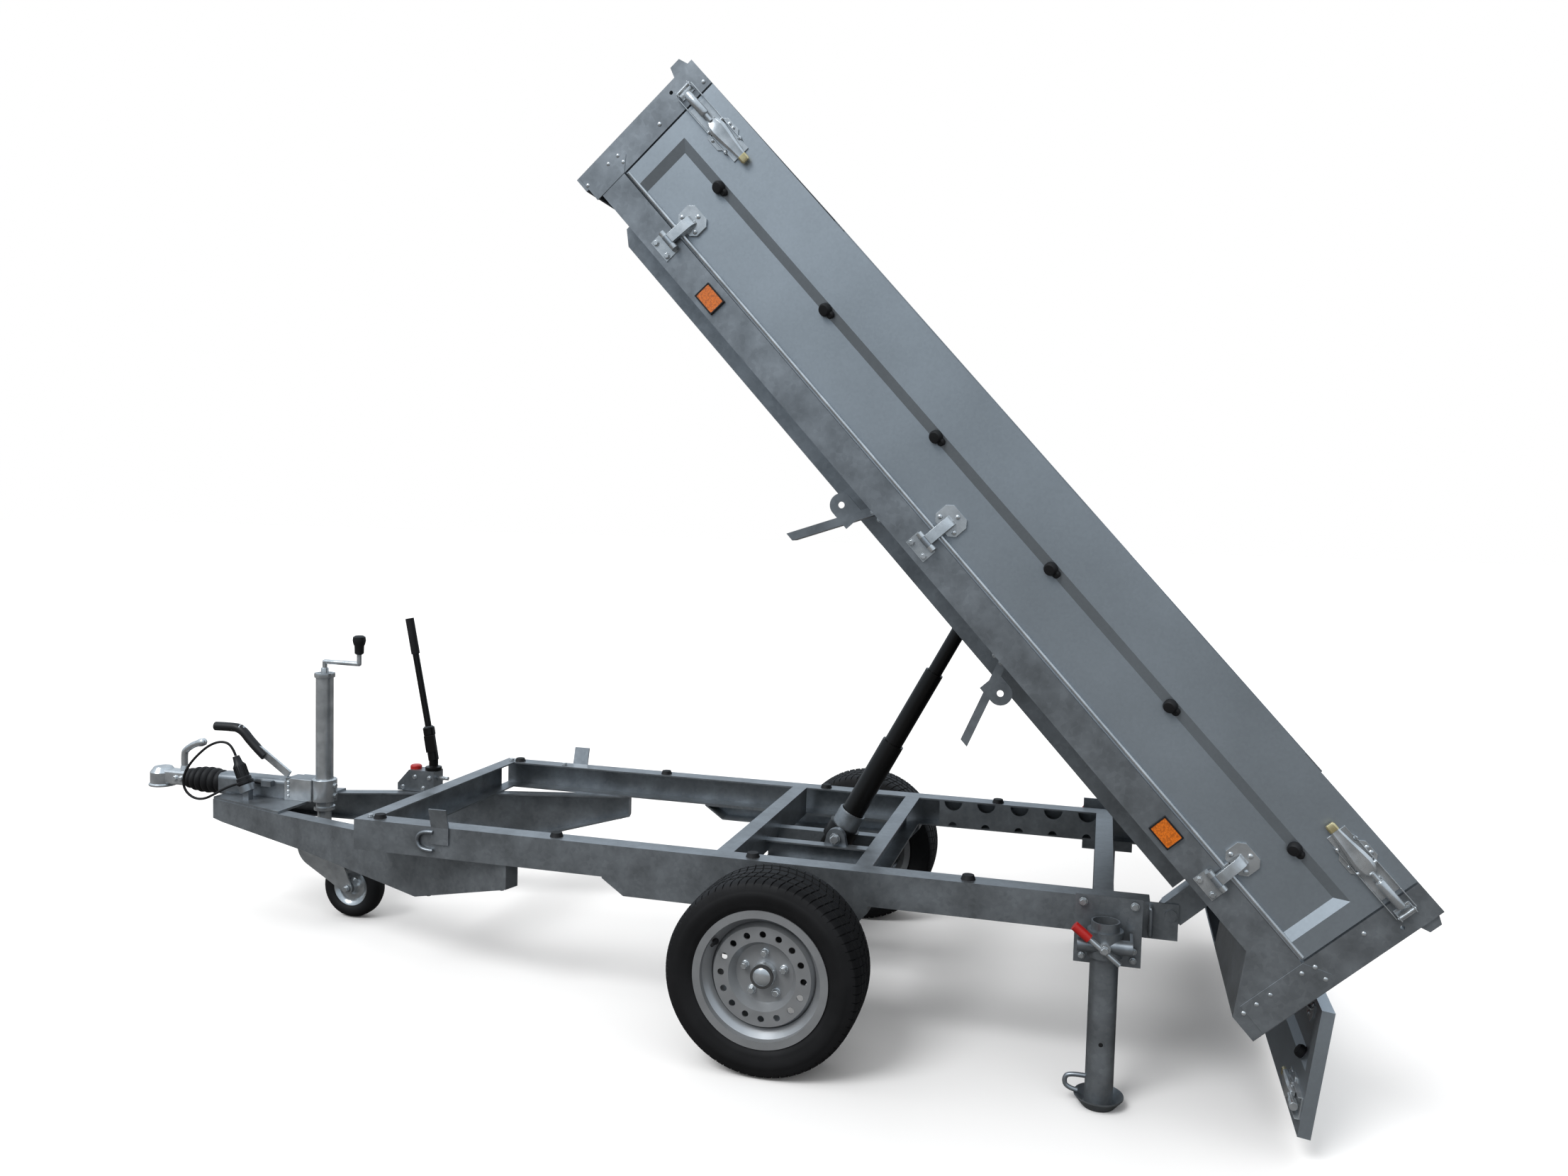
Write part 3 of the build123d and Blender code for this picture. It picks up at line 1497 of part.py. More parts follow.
with BuildPart() as pivot_brackets:
    with BuildSketch(bed_side(-flange_tip)):
        with Locations((0, 0)):
            Circle(bracket_boss)
        with BuildLine():
            Polyline(
                (bracket_front, floor_bottom),
                (bracket_front, 0),
                (bracket_rear, 0),
                (bracket_rear, floor_bottom),
                close=True,
            )
        make_face()
    extrude(amount=bracket_outer - flange_tip)
    with BuildSketch(bed_side(-flange_tip + cut_over)):
        with BuildLine():
            Polyline(
                (bracket_front + bracket_wall, floor_bottom + cut_over),
                (bracket_front + bracket_wall, bracket_boss),
                (bracket_rear + cut_over, bracket_boss),
                (bracket_rear + cut_over, floor_bottom + cut_over),
                close=True,
            )
        make_face()
    extrude(amount=bracket_outer - flange_tip + cut_over - bracket_wall, mode=Mode.SUBTRACT)
    with BuildSketch(bed_side(-bracket_outer)):
        Circle(pivot_pin_radius)
    extrude(amount=half_frame + run_gap - bracket_outer)
    with BuildSketch(bed_side(-half_frame - run_gap)):
        Circle(pivot_head_radius)
    extrude(amount=pivot_head_thickness)
    mirror(about=Plane.XZ)
pivot_brackets.part.label = "pivot_brackets"
export_step(pivot_brackets.part, "parts/pivot_brackets.step")

# Hoist bracket: two ears between bearers beside the rod's eye, with the pin's heads outside
ear_drop = 30
ear_low = eye_high - ear_drop
pin_head_radius = 16
pin_head_thickness = 8

with BuildPart() as hoist_bracket:
    with BuildSketch(bed_side(-ear_gap / 2)):
        with BuildLine():
            Polyline(
                (bearer_places[4] + bearer_width, floor_bottom),
                (bearer_places[4] + bearer_width, bearer_bottom),
                (eye_along - eye_radius, ear_low),
                (eye_along + eye_radius, ear_low),
                (bearer_places[5], bearer_bottom),
                (bearer_places[5], floor_bottom),
                close=True,
            )
        make_face()
    extrude(amount=ear_thickness)
    with BuildSketch(bed_side(-ear_gap / 2 - ear_thickness)):
        with Locations((eye_along, eye_high)):
            Circle(pin_head_radius)
    extrude(amount=pin_head_thickness)
    mirror(about=Plane.XZ)
hoist_bracket.part.label = "hoist_bracket"
export_step(hoist_bracket.part, "parts/hoist_bracket.step")

# Mudguard stays: angles that splay down beside the tyres, each with a rounded lug
# Columns: top place, foot place, lug place, foot height, lug height
stay_outer = 650
stay_width = 50
stay_leg = 24
stay_wall = 4
stay_lug_radius = 30
stay_hole_radius = 8.5
stay_rows = (
    (-1243, -1343, -1327, -96, 61),
    (-782, -683, -709, -92, 59),
)

with BuildPart() as mudguard_stays:
    for top, foot, lug, foot_high, lug_high in stay_rows:
        lean = 1 if foot > top else -1
        lug_root = top + (foot - top) * (bearer_bottom - lug_high) / (bearer_bottom - foot_high)
        with BuildSketch(bed_side(-stay_outer + stay_wall)):
            with BuildLine():
                Polyline(
                    (top, bearer_bottom),
                    (top + lean * stay_leg, bearer_bottom),
                    (foot + lean * stay_leg, foot_high),
                    (foot, foot_high),
                    close=True,
                )
            make_face()
            with BuildLine():
                Polyline(
                    (lug_root, lug_high + stay_lug_radius),
                    (lug, lug_high + stay_lug_radius),
                    (lug, lug_high - stay_lug_radius),
                    (lug_root, lug_high - stay_lug_radius),
                    close=True,
                )
            make_face()
            with Locations((lug, lug_high)):
                Circle(stay_lug_radius)
                Circle(stay_hole_radius, mode=Mode.SUBTRACT)
        extrude(amount=stay_wall)
        with BuildSketch(bed_side(-stay_outer + stay_width)):
            with BuildLine():
                Polyline(
                    (top, bearer_bottom),
                    (top + lean * stay_wall, bearer_bottom),
                    (foot + lean * stay_wall, foot_high),
                    (foot, foot_high),
                    close=True,
                )
            make_face()
        extrude(amount=stay_width)
    mirror(about=Plane.XZ)
mudguard_stays.part.label = "mudguard_stays"
export_step(mudguard_stays.part, "parts/mudguard_stays.step")

# Side reflectors on the beams
reflector_places = (-1914, -234)
reflector_length = 60
reflector_height = 43
reflector_thickness = 6
reflector_high = 164

with BuildPart() as side_reflectors:
    with BuildSketch(bed_side(-half_bed)):
        for place in reflector_places:
            with Locations((place, reflector_high)):
                RectangleRounded(reflector_length, reflector_height, reflector_thickness)
    extrude(amount=reflector_thickness)
    mirror(about=Plane.XZ)
side_reflectors.part.label = "side_reflectors"
export_step(side_reflectors.part, "parts/side_reflectors.step")

# Hinges: fixed leaves with the pins on the beams, straps with the middle knuckles on the panels
side_hinge_places = (-2094, -1103, -85)
gate_hinge_places = (-600, 0, 600)
leaf_wall = 2.5
leaf_width = 64
leaf_low = 142
knuckle_length = 14
strap_width = 26
strap_wall = 4
strap_plate_width = 70
strap_plate_low = 232
strap_plate_high = 282
pin_high = floor_top - pin_drop
pin_length = strap_width + 2 * knuckle_length + 2 * run_gap

with BuildPart() as hinge_leaves:
    for place in side_hinge_places:
        with BuildSketch(bed_side(-half_bed)):
            with Locations((place, (leaf_low + pin_high) / 2)):
                Rectangle(leaf_width, pin_high - leaf_low)
        extrude(amount=leaf_wall)
        with BuildSketch(bed_across(place - pin_length / 2)):
            with Locations((-half_bed - pin_offset, pin_high)):
                Circle(pin_radius)
        extrude(amount=pin_length)
        for start in (place - pin_length / 2, place + strap_width / 2 + run_gap):
            with BuildSketch(bed_across(start)):
                with Locations((-half_bed - pin_offset, pin_high)):
                    Circle(knuckle_radius)
                with Locations((-half_bed - pin_offset / 2, pin_high - knuckle_radius / 2)):
                    Rectangle(pin_offset, knuckle_radius)
            extrude(amount=knuckle_length)
    mirror(about=Plane.XZ)
    for place in gate_hinge_places:
        with BuildSketch(bed_across(bed_rear)):
            with Locations((place, (leaf_low + pin_high) / 2)):
                Rectangle(leaf_width, pin_high - leaf_low)
        extrude(amount=leaf_wall)
        with BuildSketch(bed_side(place + pin_length / 2)):
            with Locations((bed_rear + pin_offset, pin_high)):
                Circle(pin_radius)
        extrude(amount=pin_length)
        for start in (place + pin_length / 2, place - strap_width / 2 - run_gap):
            with BuildSketch(bed_side(start)):
                with Locations((bed_rear + pin_offset, pin_high)):
                    Circle(knuckle_radius)
                with Locations((bed_rear + pin_offset / 2, pin_high - knuckle_radius / 2)):
                    Rectangle(pin_offset, knuckle_radius)
            extrude(amount=knuckle_length)
hinge_leaves.part.label = "hinge_leaves"
export_step(hinge_leaves.part, "parts/hinge_leaves.step")

# Side panels between the posts, hinged at their feet
side_panel_front = bed_front + post_width + swing_gap
side_panel_rear = bed_rear - post_width - swing_gap
panel_bottom = floor_top + swing_gap
panel_middle = (side_panel_front + side_panel_rear) / 2

for side, name in ((-1, "left"), (1, "right")):
    with BuildPart() as side_panel:
        with BuildSketch(bed_side(-post_inner)):
            with Locations((panel_middle, (panel_bottom + panel_top) / 2)):
                Rectangle(side_panel_rear - side_panel_front, panel_top - panel_bottom)
        extrude(amount=panel_thickness)
        with BuildSketch(bed_side(-half_bed)):
            with Locations((panel_middle, (field_low + field_high) / 2)):
                Rectangle(side_panel_rear - side_panel_front - 2 * field_border, field_high - field_low)
        with BuildSketch(bed_side(-half_bed + field_depth)):
            with Locations((panel_middle, (field_low + field_high - field_bevel) / 2)):
                Rectangle(
                    side_panel_rear - side_panel_front - 2 * (field_border + field_bevel),
                    field_high - field_bevel - field_low,
                )
        loft(mode=Mode.SUBTRACT)
        for place in side_hinge_places:
            with BuildSketch(bed_across(place - strap_width / 2)):
                with Locations((-half_bed - pin_offset, pin_high)):
                    Circle(knuckle_radius)
                with BuildLine():
                    Polyline(
                        (-half_bed - pin_offset, pin_high),
                        (-half_bed - pin_offset - knuckle_radius, pin_high),
                        (-half_bed - 2 * strap_wall, panel_bottom + strap_wall),
                        (-half_bed, panel_bottom + 2 * strap_wall),
                        (-half_bed, panel_bottom),
                        (-half_bed - strap_wall, panel_bottom - strap_wall),
                        close=True,
                    )
                make_face()
                with Locations((-half_bed - pin_offset, pin_high)):
                    Circle(pin_radius + run_gap, mode=Mode.SUBTRACT)
            extrude(amount=strap_width)
            with BuildSketch(bed_side(-half_bed + field_depth)):
                with Locations((place, (strap_plate_low + strap_plate_high) / 2)):
                    RectangleRounded(
                        strap_plate_width, strap_plate_high - strap_plate_low, strap_wall * 3
                    )
            extrude(amount=strap_wall)
            with BuildSketch(bed_side(-half_bed + field_depth)):
                with Locations((place, (panel_bottom + strap_plate_low) / 2 + strap_wall)):
                    Rectangle(strap_width, strap_plate_low - panel_bottom)
            extrude(amount=strap_wall)
        if side > 0:
            mirror(about=Plane.XZ, mode=Mode.REPLACE)
    side_panel.part.label = f"side_panel_{name}"
    export_step(side_panel.part, f"parts/side_panel_{name}.step")

# Over-centre latches near the panels' ends, on the upper band
latch_low = 428
latch_high = 476
latch_length = 200
latch_base = 4
latch_lever = 20
latch_tip = 26
latch_inset = 8

for side, name in ((-1, "left"), (1, "right")):
    with BuildPart() as side_latches:
        for end, way in ((side_panel_front, 1), (side_panel_rear, -1)):
            start = end + way * latch_inset
            with BuildSketch(bed_side(-half_bed)):
                with Locations((start + way * latch_length / 2, (latch_low + latch_high) / 2)):
                    Rectangle(latch_length, latch_high - latch_low)
            extrude(amount=latch_base)
            with BuildSketch(bed_side(-half_bed - latch_base)):
                with BuildLine():
                    Polyline(
                        (start + way * latch_inset, latch_low + latch_inset / 2),
                        (start + way * latch_inset, latch_high - latch_inset / 2),
                        (start + way * (latch_length - latch_inset), latch_high - 2 * latch_inset),
                        (start + way * (latch_length - latch_inset), latch_low + 2 * latch_inset),
                        close=True,
                    )
                make_face()
            extrude(amount=latch_lever)
        if side > 0:
            mirror(about=Plane.XZ, mode=Mode.REPLACE)
    side_latches.part.label = f"panel_latches_{name}"
    export_step(side_latches.part, f"parts/panel_latches_{name}.step")

# Tailgate, hanging from its pins: planes are in distances down from the pin and behind it
gate_half = post_inner - swing_gap
gate_thickness = 29
gate_top = panel_bottom - pin_high
gate_low = panel_top - pin_high
pin_back, pin_up = bed_point(bed_rear + pin_offset, pin_high)
gate_slope = radians(gate_lean)
print("gate pin from axle", round(pin_back, 2), round(pin_up, 2))


def gate_side(y):
    """Upright plane along the hanging gate: x down it, y behind its outer face's pin."""
    return Plane(
        origin=(axle_x + pin_back, y, pin_up),
        x_dir=(-sin(gate_slope), 0, -cos(gate_slope)),
        z_dir=(0, -1, 0),
    )


def gate_face(behind):
    """Plane along the hanging gate's face: x to the right, y up it, facing the front."""
    return Plane(
        origin=(
            axle_x + pin_back + behind * cos(gate_slope),
            0,
            pin_up - behind * sin(gate_slope),
        ),
        x_dir=(0, -1, 0),
        z_dir=(-cos(gate_slope), 0, sin(gate_slope)),
    )


with BuildPart() as tailgate:
    with BuildSketch(gate_face(pin_offset)):
        with Locations((0, -(gate_top + gate_low) / 2)):
            Rectangle(2 * gate_half, gate_low - gate_top)
    extrude(amount=-gate_thickness)
    gate_field_top = gate_top + field_foot
    gate_field_low = gate_low - field_head
    with BuildSketch(gate_face(pin_offset)):
        with Locations((0, -(gate_field_top + gate_field_low) / 2)):
            Rectangle(2 * (gate_half - field_border), gate_field_low - gate_field_top)
    with BuildSketch(gate_face(pin_offset + field_depth)):
        with Locations((0, -(gate_field_top + gate_field_low - field_bevel) / 2)):
            Rectangle(
                2 * (gate_half - field_border - field_bevel),
                gate_field_low - field_bevel - gate_field_top,
            )
    loft(mode=Mode.SUBTRACT)
    for place in gate_hinge_places:
        with BuildSketch(gate_side(place + strap_width / 2)):
            Circle(knuckle_radius)
            with BuildLine():
                Polyline(
                    (0, 0),
                    (0, -knuckle_radius),
                    (gate_top + strap_wall, pin_offset - 2 * strap_wall),
                    (gate_top + 2 * strap_wall, pin_offset),
                    (gate_top, pin_offset),
                    (gate_top - strap_wall, pin_offset - strap_wall),
                    close=True,
                )
            make_face()
            Circle(pin_radius + run_gap, mode=Mode.SUBTRACT)
        extrude(amount=strap_width)
tailgate.part.label = "tailgate"
export_step(tailgate.part, "parts/tailgate.step")

with BuildPart() as gate_latches:
    latch_near = latch_low - pin_high
    latch_far = latch_high - pin_high
    with BuildSketch(gate_face(pin_offset)):
        for side in (-1, 1):
            with Locations((side * (gate_half - latch_inset - latch_length / 2), -(latch_near + latch_far) / 2)):
                Rectangle(latch_length, latch_far - latch_near)
    extrude(amount=latch_base)
    with BuildSketch(gate_face(pin_offset - latch_base)):
        for side in (-1, 1):
            with BuildLine():
                Polyline(
                    (side * (gate_half - 2 * latch_inset), -latch_near - latch_inset / 2),
                    (side * (gate_half - 2 * latch_inset), -latch_far + latch_inset / 2),
                    (side * (gate_half - latch_length), -latch_far + 2 * latch_inset),
                    (side * (gate_half - latch_length), -latch_near - 2 * latch_inset),
                    close=True,
                )
            make_face()
    extrude(amount=latch_lever)
gate_latches.part.label = "gate_latches"
export_step(gate_latches.part, "parts/gate_latches.step")
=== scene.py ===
import json
from math import cos, pi, radians, sin

import bmesh
import bpy
from mathutils import Matrix, Vector


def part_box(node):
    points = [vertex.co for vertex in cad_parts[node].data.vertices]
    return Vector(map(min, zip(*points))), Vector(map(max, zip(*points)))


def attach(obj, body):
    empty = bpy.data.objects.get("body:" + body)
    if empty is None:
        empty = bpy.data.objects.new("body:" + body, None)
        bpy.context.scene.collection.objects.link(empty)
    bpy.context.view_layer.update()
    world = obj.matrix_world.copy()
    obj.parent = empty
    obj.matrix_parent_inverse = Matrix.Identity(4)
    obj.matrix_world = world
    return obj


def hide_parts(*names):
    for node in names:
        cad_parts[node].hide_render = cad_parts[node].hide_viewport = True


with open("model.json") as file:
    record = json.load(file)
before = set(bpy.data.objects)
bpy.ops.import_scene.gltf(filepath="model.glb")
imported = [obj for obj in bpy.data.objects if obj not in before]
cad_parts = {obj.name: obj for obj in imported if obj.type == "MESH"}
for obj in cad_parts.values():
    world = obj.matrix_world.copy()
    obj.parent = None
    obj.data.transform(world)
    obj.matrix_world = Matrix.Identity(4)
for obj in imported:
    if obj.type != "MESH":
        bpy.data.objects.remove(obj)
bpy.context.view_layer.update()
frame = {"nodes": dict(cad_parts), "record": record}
nodes = frame["nodes"]

# The frame's own places, in metres: the wheel axle, the bed's hinge and the gate's pin
tyre_low, tyre_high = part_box("tyre_left")
AXLE_X = (tyre_low.x + tyre_high.x) / 2
WHEEL_Y = -(tyre_low.y + tyre_high.y) / 2
TYRE_RADIUS = (tyre_high.z - tyre_low.z) / 2
TILT = radians(47.5)
HINGE_X, HINGE_Z = AXLE_X + 1.014, 0.470
GATE_PIN_X, GATE_PIN_Z = AXLE_X + 1.32378, 0.39985
GATE_LEAN = radians(7.2)

# The bed along its own length from the hinge, across, and away from the floor
BED_FRONT, BED_REAR = -2.388, 0.249
HALF_BED = 0.775
HALF_GATE = 0.745
POST_WIDTH = 0.079
PANEL_GAP = 0.005
SIDE_HINGES = (-2.094, -1.103, -0.085)
GATE_HINGES = (-0.600, 0, 0.600)


def at(x, y, z):
    """A place on the chassis: x from the axle, y to the right, z above the ground."""
    return Vector((AXLE_X + x, y, z))


def bed(along, y, high):
    """A place on the raised bed: along it from the hinge, to the right, and away from the floor."""
    x = HINGE_X + along * cos(TILT) + high * sin(TILT)
    return Vector((x, y, HINGE_Z - along * sin(TILT) + high * cos(TILT)))


def gate(down, y, behind):
    """A place on the hanging gate: down it from its pin, to the right, and rearwards square to it."""
    x = GATE_PIN_X - down * sin(GATE_LEAN) + behind * cos(GATE_LEAN)
    return Vector((x, y, GATE_PIN_Z - down * cos(GATE_LEAN) - behind * sin(GATE_LEAN)))


BED_BACK = bed(1, 0, 0) - bed(0, 0, 0)
BED_UP = bed(0, 0, 1) - bed(0, 0, 0)
GATE_DOWN = gate(1, 0, 0) - gate(0, 0, 0)
GATE_BEHIND = gate(0, 0, 1) - gate(0, 0, 0)
LEFT, RIGHT, UP, BACK = Vector((0, -1, 0)), Vector((0, 1, 0)), Vector((0, 0, 1)), Vector((1, 0, 0))


def set_at(origin, z_dir, x_dir=None):
    """The matrix of a piece's own axes, at a place, with its z outwards."""
    z = Vector(z_dir).normalized()
    x = Vector(x_dir) if x_dir is not None else z.orthogonal()
    x = (x - z * x.dot(z)).normalized()
    matrix = Matrix((x, z.cross(x), z)).transposed().to_4x4()
    matrix.translation = origin
    return matrix


# Camera, fitted to the photograph
CAMERA_PLACE = at(0.81784, -3.60654, 1.45941)
CAMERA_LENS = 27.225
CAMERA_TURN = radians(15.1536)
CAMERA_PITCH = radians(-3.5015)
CAMERA_ROLL = radians(1.4612)

forward = Vector(
    (
        -sin(CAMERA_TURN) * cos(CAMERA_PITCH),
        cos(CAMERA_TURN) * cos(CAMERA_PITCH),
        sin(CAMERA_PITCH),
    )
)
level = Vector((cos(CAMERA_TURN), sin(CAMERA_TURN), 0))
above = level.cross(forward)
camera_right = level * cos(CAMERA_ROLL) + above * sin(CAMERA_ROLL)
camera = bpy.data.objects.new("camera", bpy.data.cameras.new("camera"))
bpy.context.collection.objects.link(camera)
camera.matrix_world = set_at(CAMERA_PLACE, -forward, camera_right)
camera.data.sensor_width = 36
camera.data.lens = CAMERA_LENS
camera.data.clip_end = 200
bpy.context.scene.camera = camera


# Materials
def shader(name, colour, rough, metal=0.0):
    """A new material, its node tree and its main shader, with a plain finish."""
    material = bpy.data.materials.new(name)
    material.use_nodes = True
    tree = material.node_tree
    surface = tree.nodes["Principled BSDF"]
    surface.inputs["Base Color"].default_value = (*colour, 1)
    surface.inputs["Roughness"].default_value = rough
    surface.inputs["Metallic"].default_value = metal
    return material, tree, surface


def texture(tree, kind, scale, detail=None):
    """A procedural texture read in the object's own metres."""
    places = tree.nodes.new("ShaderNodeTexCoord")
    node = tree.nodes.new(kind)
    node.inputs["Scale"].default_value = scale
    if detail is not None:
        node.inputs["Detail"].default_value = detail
    tree.links.new(places.outputs["Object"], node.inputs["Vector"])
    return node


def ramp(tree, value, low, high, stops):
    """A colour ramp from one colour to another between two places of a value."""
    node = tree.nodes.new("ShaderNodeValToRGB")
    node.color_ramp.elements[0].position, node.color_ramp.elements[1].position = stops
    node.color_ramp.elements[0].color = (*low, 1)
    node.color_ramp.elements[1].color = (*high, 1)
    tree.links.new(value, node.inputs["Fac"])
    return node.outputs["Color"]


def mix(tree, kind, share, first, second):
    """Two colours mixed by a share."""
    node = tree.nodes.new("ShaderNodeMix")
    node.data_type = "RGBA"
    node.blend_type = kind
    node.inputs["Factor"].default_value = share
    tree.links.new(first, node.inputs["A"])
    tree.links.new(second, node.inputs["B"])
    return node.outputs["Result"]


def map_range(tree, value, low, high, top=1.0):
    """A value from 0 to the top, brought between two limits."""
    node = tree.nodes.new("ShaderNodeMapRange")
    node.inputs["From Max"].default_value = top
    node.inputs["To Min"].default_value = low
    node.inputs["To Max"].default_value = high
    tree.links.new(value, node.inputs["Value"])
    return node


def uneven(tree, surface, value, low, high):
    """Roughness that follows a value between two limits."""
    node = map_range(tree, value, low, high)
    tree.links.new(node.outputs["Result"], surface.inputs["Roughness"])


def bumpy(tree, surface, value, strength, depth):
    """Small relief from a value."""
    node = tree.nodes.new("ShaderNodeBump")
    node.inputs["Strength"].default_value = strength
    node.inputs["Distance"].default_value = depth
    tree.links.new(value, node.inputs["Height"])
    tree.links.new(node.outputs["Normal"], surface.inputs["Normal"])


def coated_steel(name, dark, light, patches, spangle, spangle_share, rough):
    """Zinc-coated steel: cloudy patches with a finer spangle over them, both by their count in a metre."""
    material, tree, surface = shader(name, light, rough[0], 0.75)
    clouds = texture(tree, "ShaderNodeTexNoise", patches, 5)
    grains = texture(tree, "ShaderNodeTexVoronoi", spangle)
    base = ramp(tree, clouds.outputs["Fac"], dark, light, (0.32, 0.68))
    grain = ramp(tree, grains.outputs["Color"], (0.72,) * 3, (1.0,) * 3, (0.1, 0.9))
    colour = mix(tree, "MULTIPLY", spangle_share, base, grain)
    tree.links.new(colour, surface.inputs["Base Color"])
    uneven(tree, surface, clouds.outputs["Fac"], *rough)
    bumpy(tree, surface, clouds.outputs["Fac"], 0.12, 0.002)
    return material


def grained(name, colour, shade, scale, rough, relief, metal=0.0, shine=0.5):
    """A painted, moulded or rubber surface with a fine grain and faint wear."""
    material, tree, surface = shader(name, colour, rough[0], metal)
    surface.inputs["Specular IOR Level"].default_value = shine
    grain = texture(tree, "ShaderNodeTexNoise", scale, 6)
    wear = texture(tree, "ShaderNodeTexNoise", scale / 40, 4)
    worn = [value * shade for value in colour]
    base = ramp(tree, wear.outputs["Fac"], worn, colour, (0.35, 0.65))
    tree.links.new(base, surface.inputs["Base Color"])
    uneven(tree, surface, wear.outputs["Fac"], *rough)
    bumpy(tree, surface, grain.outputs["Fac"], relief, 0.001)
    return material


def ribbed_lens(name, colour):
    """A clear coloured lens over a grid of small prisms."""
    material, tree, surface = shader(name, colour, 0.12)
    cells = texture(tree, "ShaderNodeTexVoronoi", 260)
    dark = [value * 0.55 for value in colour]
    base = ramp(tree, cells.outputs["Distance"], colour, dark, (0.2, 0.9))
    tree.links.new(base, surface.inputs["Base Color"])
    surface.inputs["Coat Weight"].default_value = 0.8
    bumpy(tree, surface, cells.outputs["Distance"], 0.25, 0.001)
    return material


looks = {
    "galvanised_steel": coated_steel(
        "galvanised_steel",
        dark=(0.215, 0.234, 0.251),
        light=(0.325, 0.353, 0.380),
        patches=13,
        spangle=90,
        spangle_share=0.5,
        rough=(0.27, 0.42),
    ),
    "zinc_plated": coated_steel(
        "zinc_plated",
        dark=(0.45, 0.48, 0.50),
        light=(0.66, 0.69, 0.71),
        patches=25,
        spangle=300,
        spangle_share=0.2,
        rough=(0.16, 0.30),
    ),
    "panel_grey": coated_steel(
        "panel_grey",
        dark=(0.305, 0.340, 0.370),
        light=(0.375, 0.420, 0.460),
        patches=2.5,
        spangle=160,
        spangle_share=0.2,
        rough=(0.34, 0.44),
    ),
    "hoist_black": grained("hoist_black", (0.005, 0.0047, 0.0045), 0.7, 300, (0.24, 0.36), 0.04, shine=0.3),
    "wheel_silver": grained("wheel_silver", (0.40, 0.415, 0.43), 0.9, 900, (0.28, 0.38), 0.03, metal=0.6),
    "cast_hub": grained("cast_hub", (0.09, 0.09, 0.09), 0.6, 350, (0.55, 0.75), 0.3, metal=0.3),
    "black_rubber": grained("black_rubber", (0.007, 0.007, 0.0077), 1.6, 600, (0.5, 0.7), 0.15, shine=0.3),
    "black_plastic": grained("black_plastic", (0.008, 0.008, 0.009), 1.4, 900, (0.36, 0.5), 0.12, shine=0.35),
    "red_grip": grained("red_grip", (0.5, 0.018, 0.015), 0.8, 500, (0.28, 0.4), 0.05),
    "lamp_red": ribbed_lens("lamp_red", (0.45, 0.01, 0.012)),
    "reflector_amber": ribbed_lens("reflector_amber", (0.85, 0.2, 0.01)),
    "tyre": grained("tyre", (0.0055, 0.0055, 0.006), 1.8, 450, (0.55, 0.75), 0.2, shine=0.25),
}
YELLOW_ZINC = coated_steel(
    "yellow_zinc",
    dark=(0.5, 0.42, 0.2),
    light=(0.68, 0.6, 0.36),
    patches=30,
    spangle=300,
    spangle_share=0.2,
    rough=(0.2, 0.35),
)

for part in frame["record"]["subparts"]:
    node = nodes[part["node"]]
    node.data.materials.clear()
    node.data.materials.append(looks[part["material_slot"]])


# Mesh building
def revolve(bm, matrix, rows, segments=20, ring=False):
    """A solid turned about z, from rows of radius and height; a ring joins its last row to its first."""
    rings = []
    for radius, high in rows:
        count = segments if radius else 1
        turns = [2 * pi * i / count for i in range(count)]
        places = [Vector((radius * cos(turn), radius * sin(turn), high)) for turn in turns]
        rings.append([bm.verts.new(matrix @ place) for place in places])
    for low, top in zip(rings, rings[1:] + rings[:1] if ring else rings[1:]):
        for i in range(segments):
            low_side = low[i % len(low)], low[(i + 1) % len(low)]
            top_side = top[(i + 1) % len(top)], top[i % len(top)]
            corners = list(dict.fromkeys(low_side + top_side))
            if len(corners) > 2:
                bm.faces.new(corners)
    for end in () if ring else (rings[0], rings[-1]):
        if len(end) > 2:
            bm.faces.new(end)


def drum(radius, low, high):
    """The rows of a plain cylinder."""
    return (0, low), (radius, low), (radius, high), (0, high)


def prism(bm, matrix, outline, depth):
    """A flat plate of this outline, standing on the matrix's x-y plane."""
    low = [bm.verts.new(matrix @ Vector((x, y, 0))) for x, y in outline]
    top = [bm.verts.new(matrix @ Vector((x, y, depth))) for x, y in outline]
    bm.faces.new(low[::-1])
    bm.faces.new(top)
    for i in range(len(outline)):
        j = (i + 1) % len(outline)
        bm.faces.new((low[i], low[j], top[j], top[i]))


def loft(bm, matrix, rows, section):
    """A body through a section scaled at each row: columns are along, half width, low and high."""
    rings = []
    for along, half, low, high in rows:
        ring = [(along, y * half, low + z * (high - low)) for y, z in section]
        rings.append([bm.verts.new(matrix @ Vector(p)) for p in ring])
    for first, second in zip(rings, rings[1:]):
        for i in range(len(section)):
            j = (i + 1) % len(section)
            bm.faces.new((first[i], first[j], second[j], second[i]))
    bm.faces.new(rings[0][::-1])
    bm.faces.new(rings[-1])


def box_outline(x0, x1, y0, y1):
    """The corners of a rectangle."""
    return (x0, y0), (x1, y0), (x1, y1), (x0, y1)


def shift(x, y, z):
    """A move along a piece's own axes."""
    return Matrix.Translation((x, y, z))


def bolt(bm, matrix, half):
    """A hexagon bolt's head on its washer; half is half the width over the flats."""
    revolve(bm, matrix, drum(half * 1.4, 0, half * 0.2), 18)
    corner = half * 1.15
    head = ((0, half * 0.15), (corner, half * 0.2), (corner, half * 0.85), (corner * 0.86, half), (0, half))
    revolve(bm, matrix, head, 6)


def rivet(bm, matrix, radius):
    """A rivet's domed head."""
    dome = ((0, 0), (1, 0), (0.94, 0.3), (0.6, 0.55), (0, 0.65))
    revolve(bm, matrix, [(radius * out, radius * high) for out, high in dome], 14)


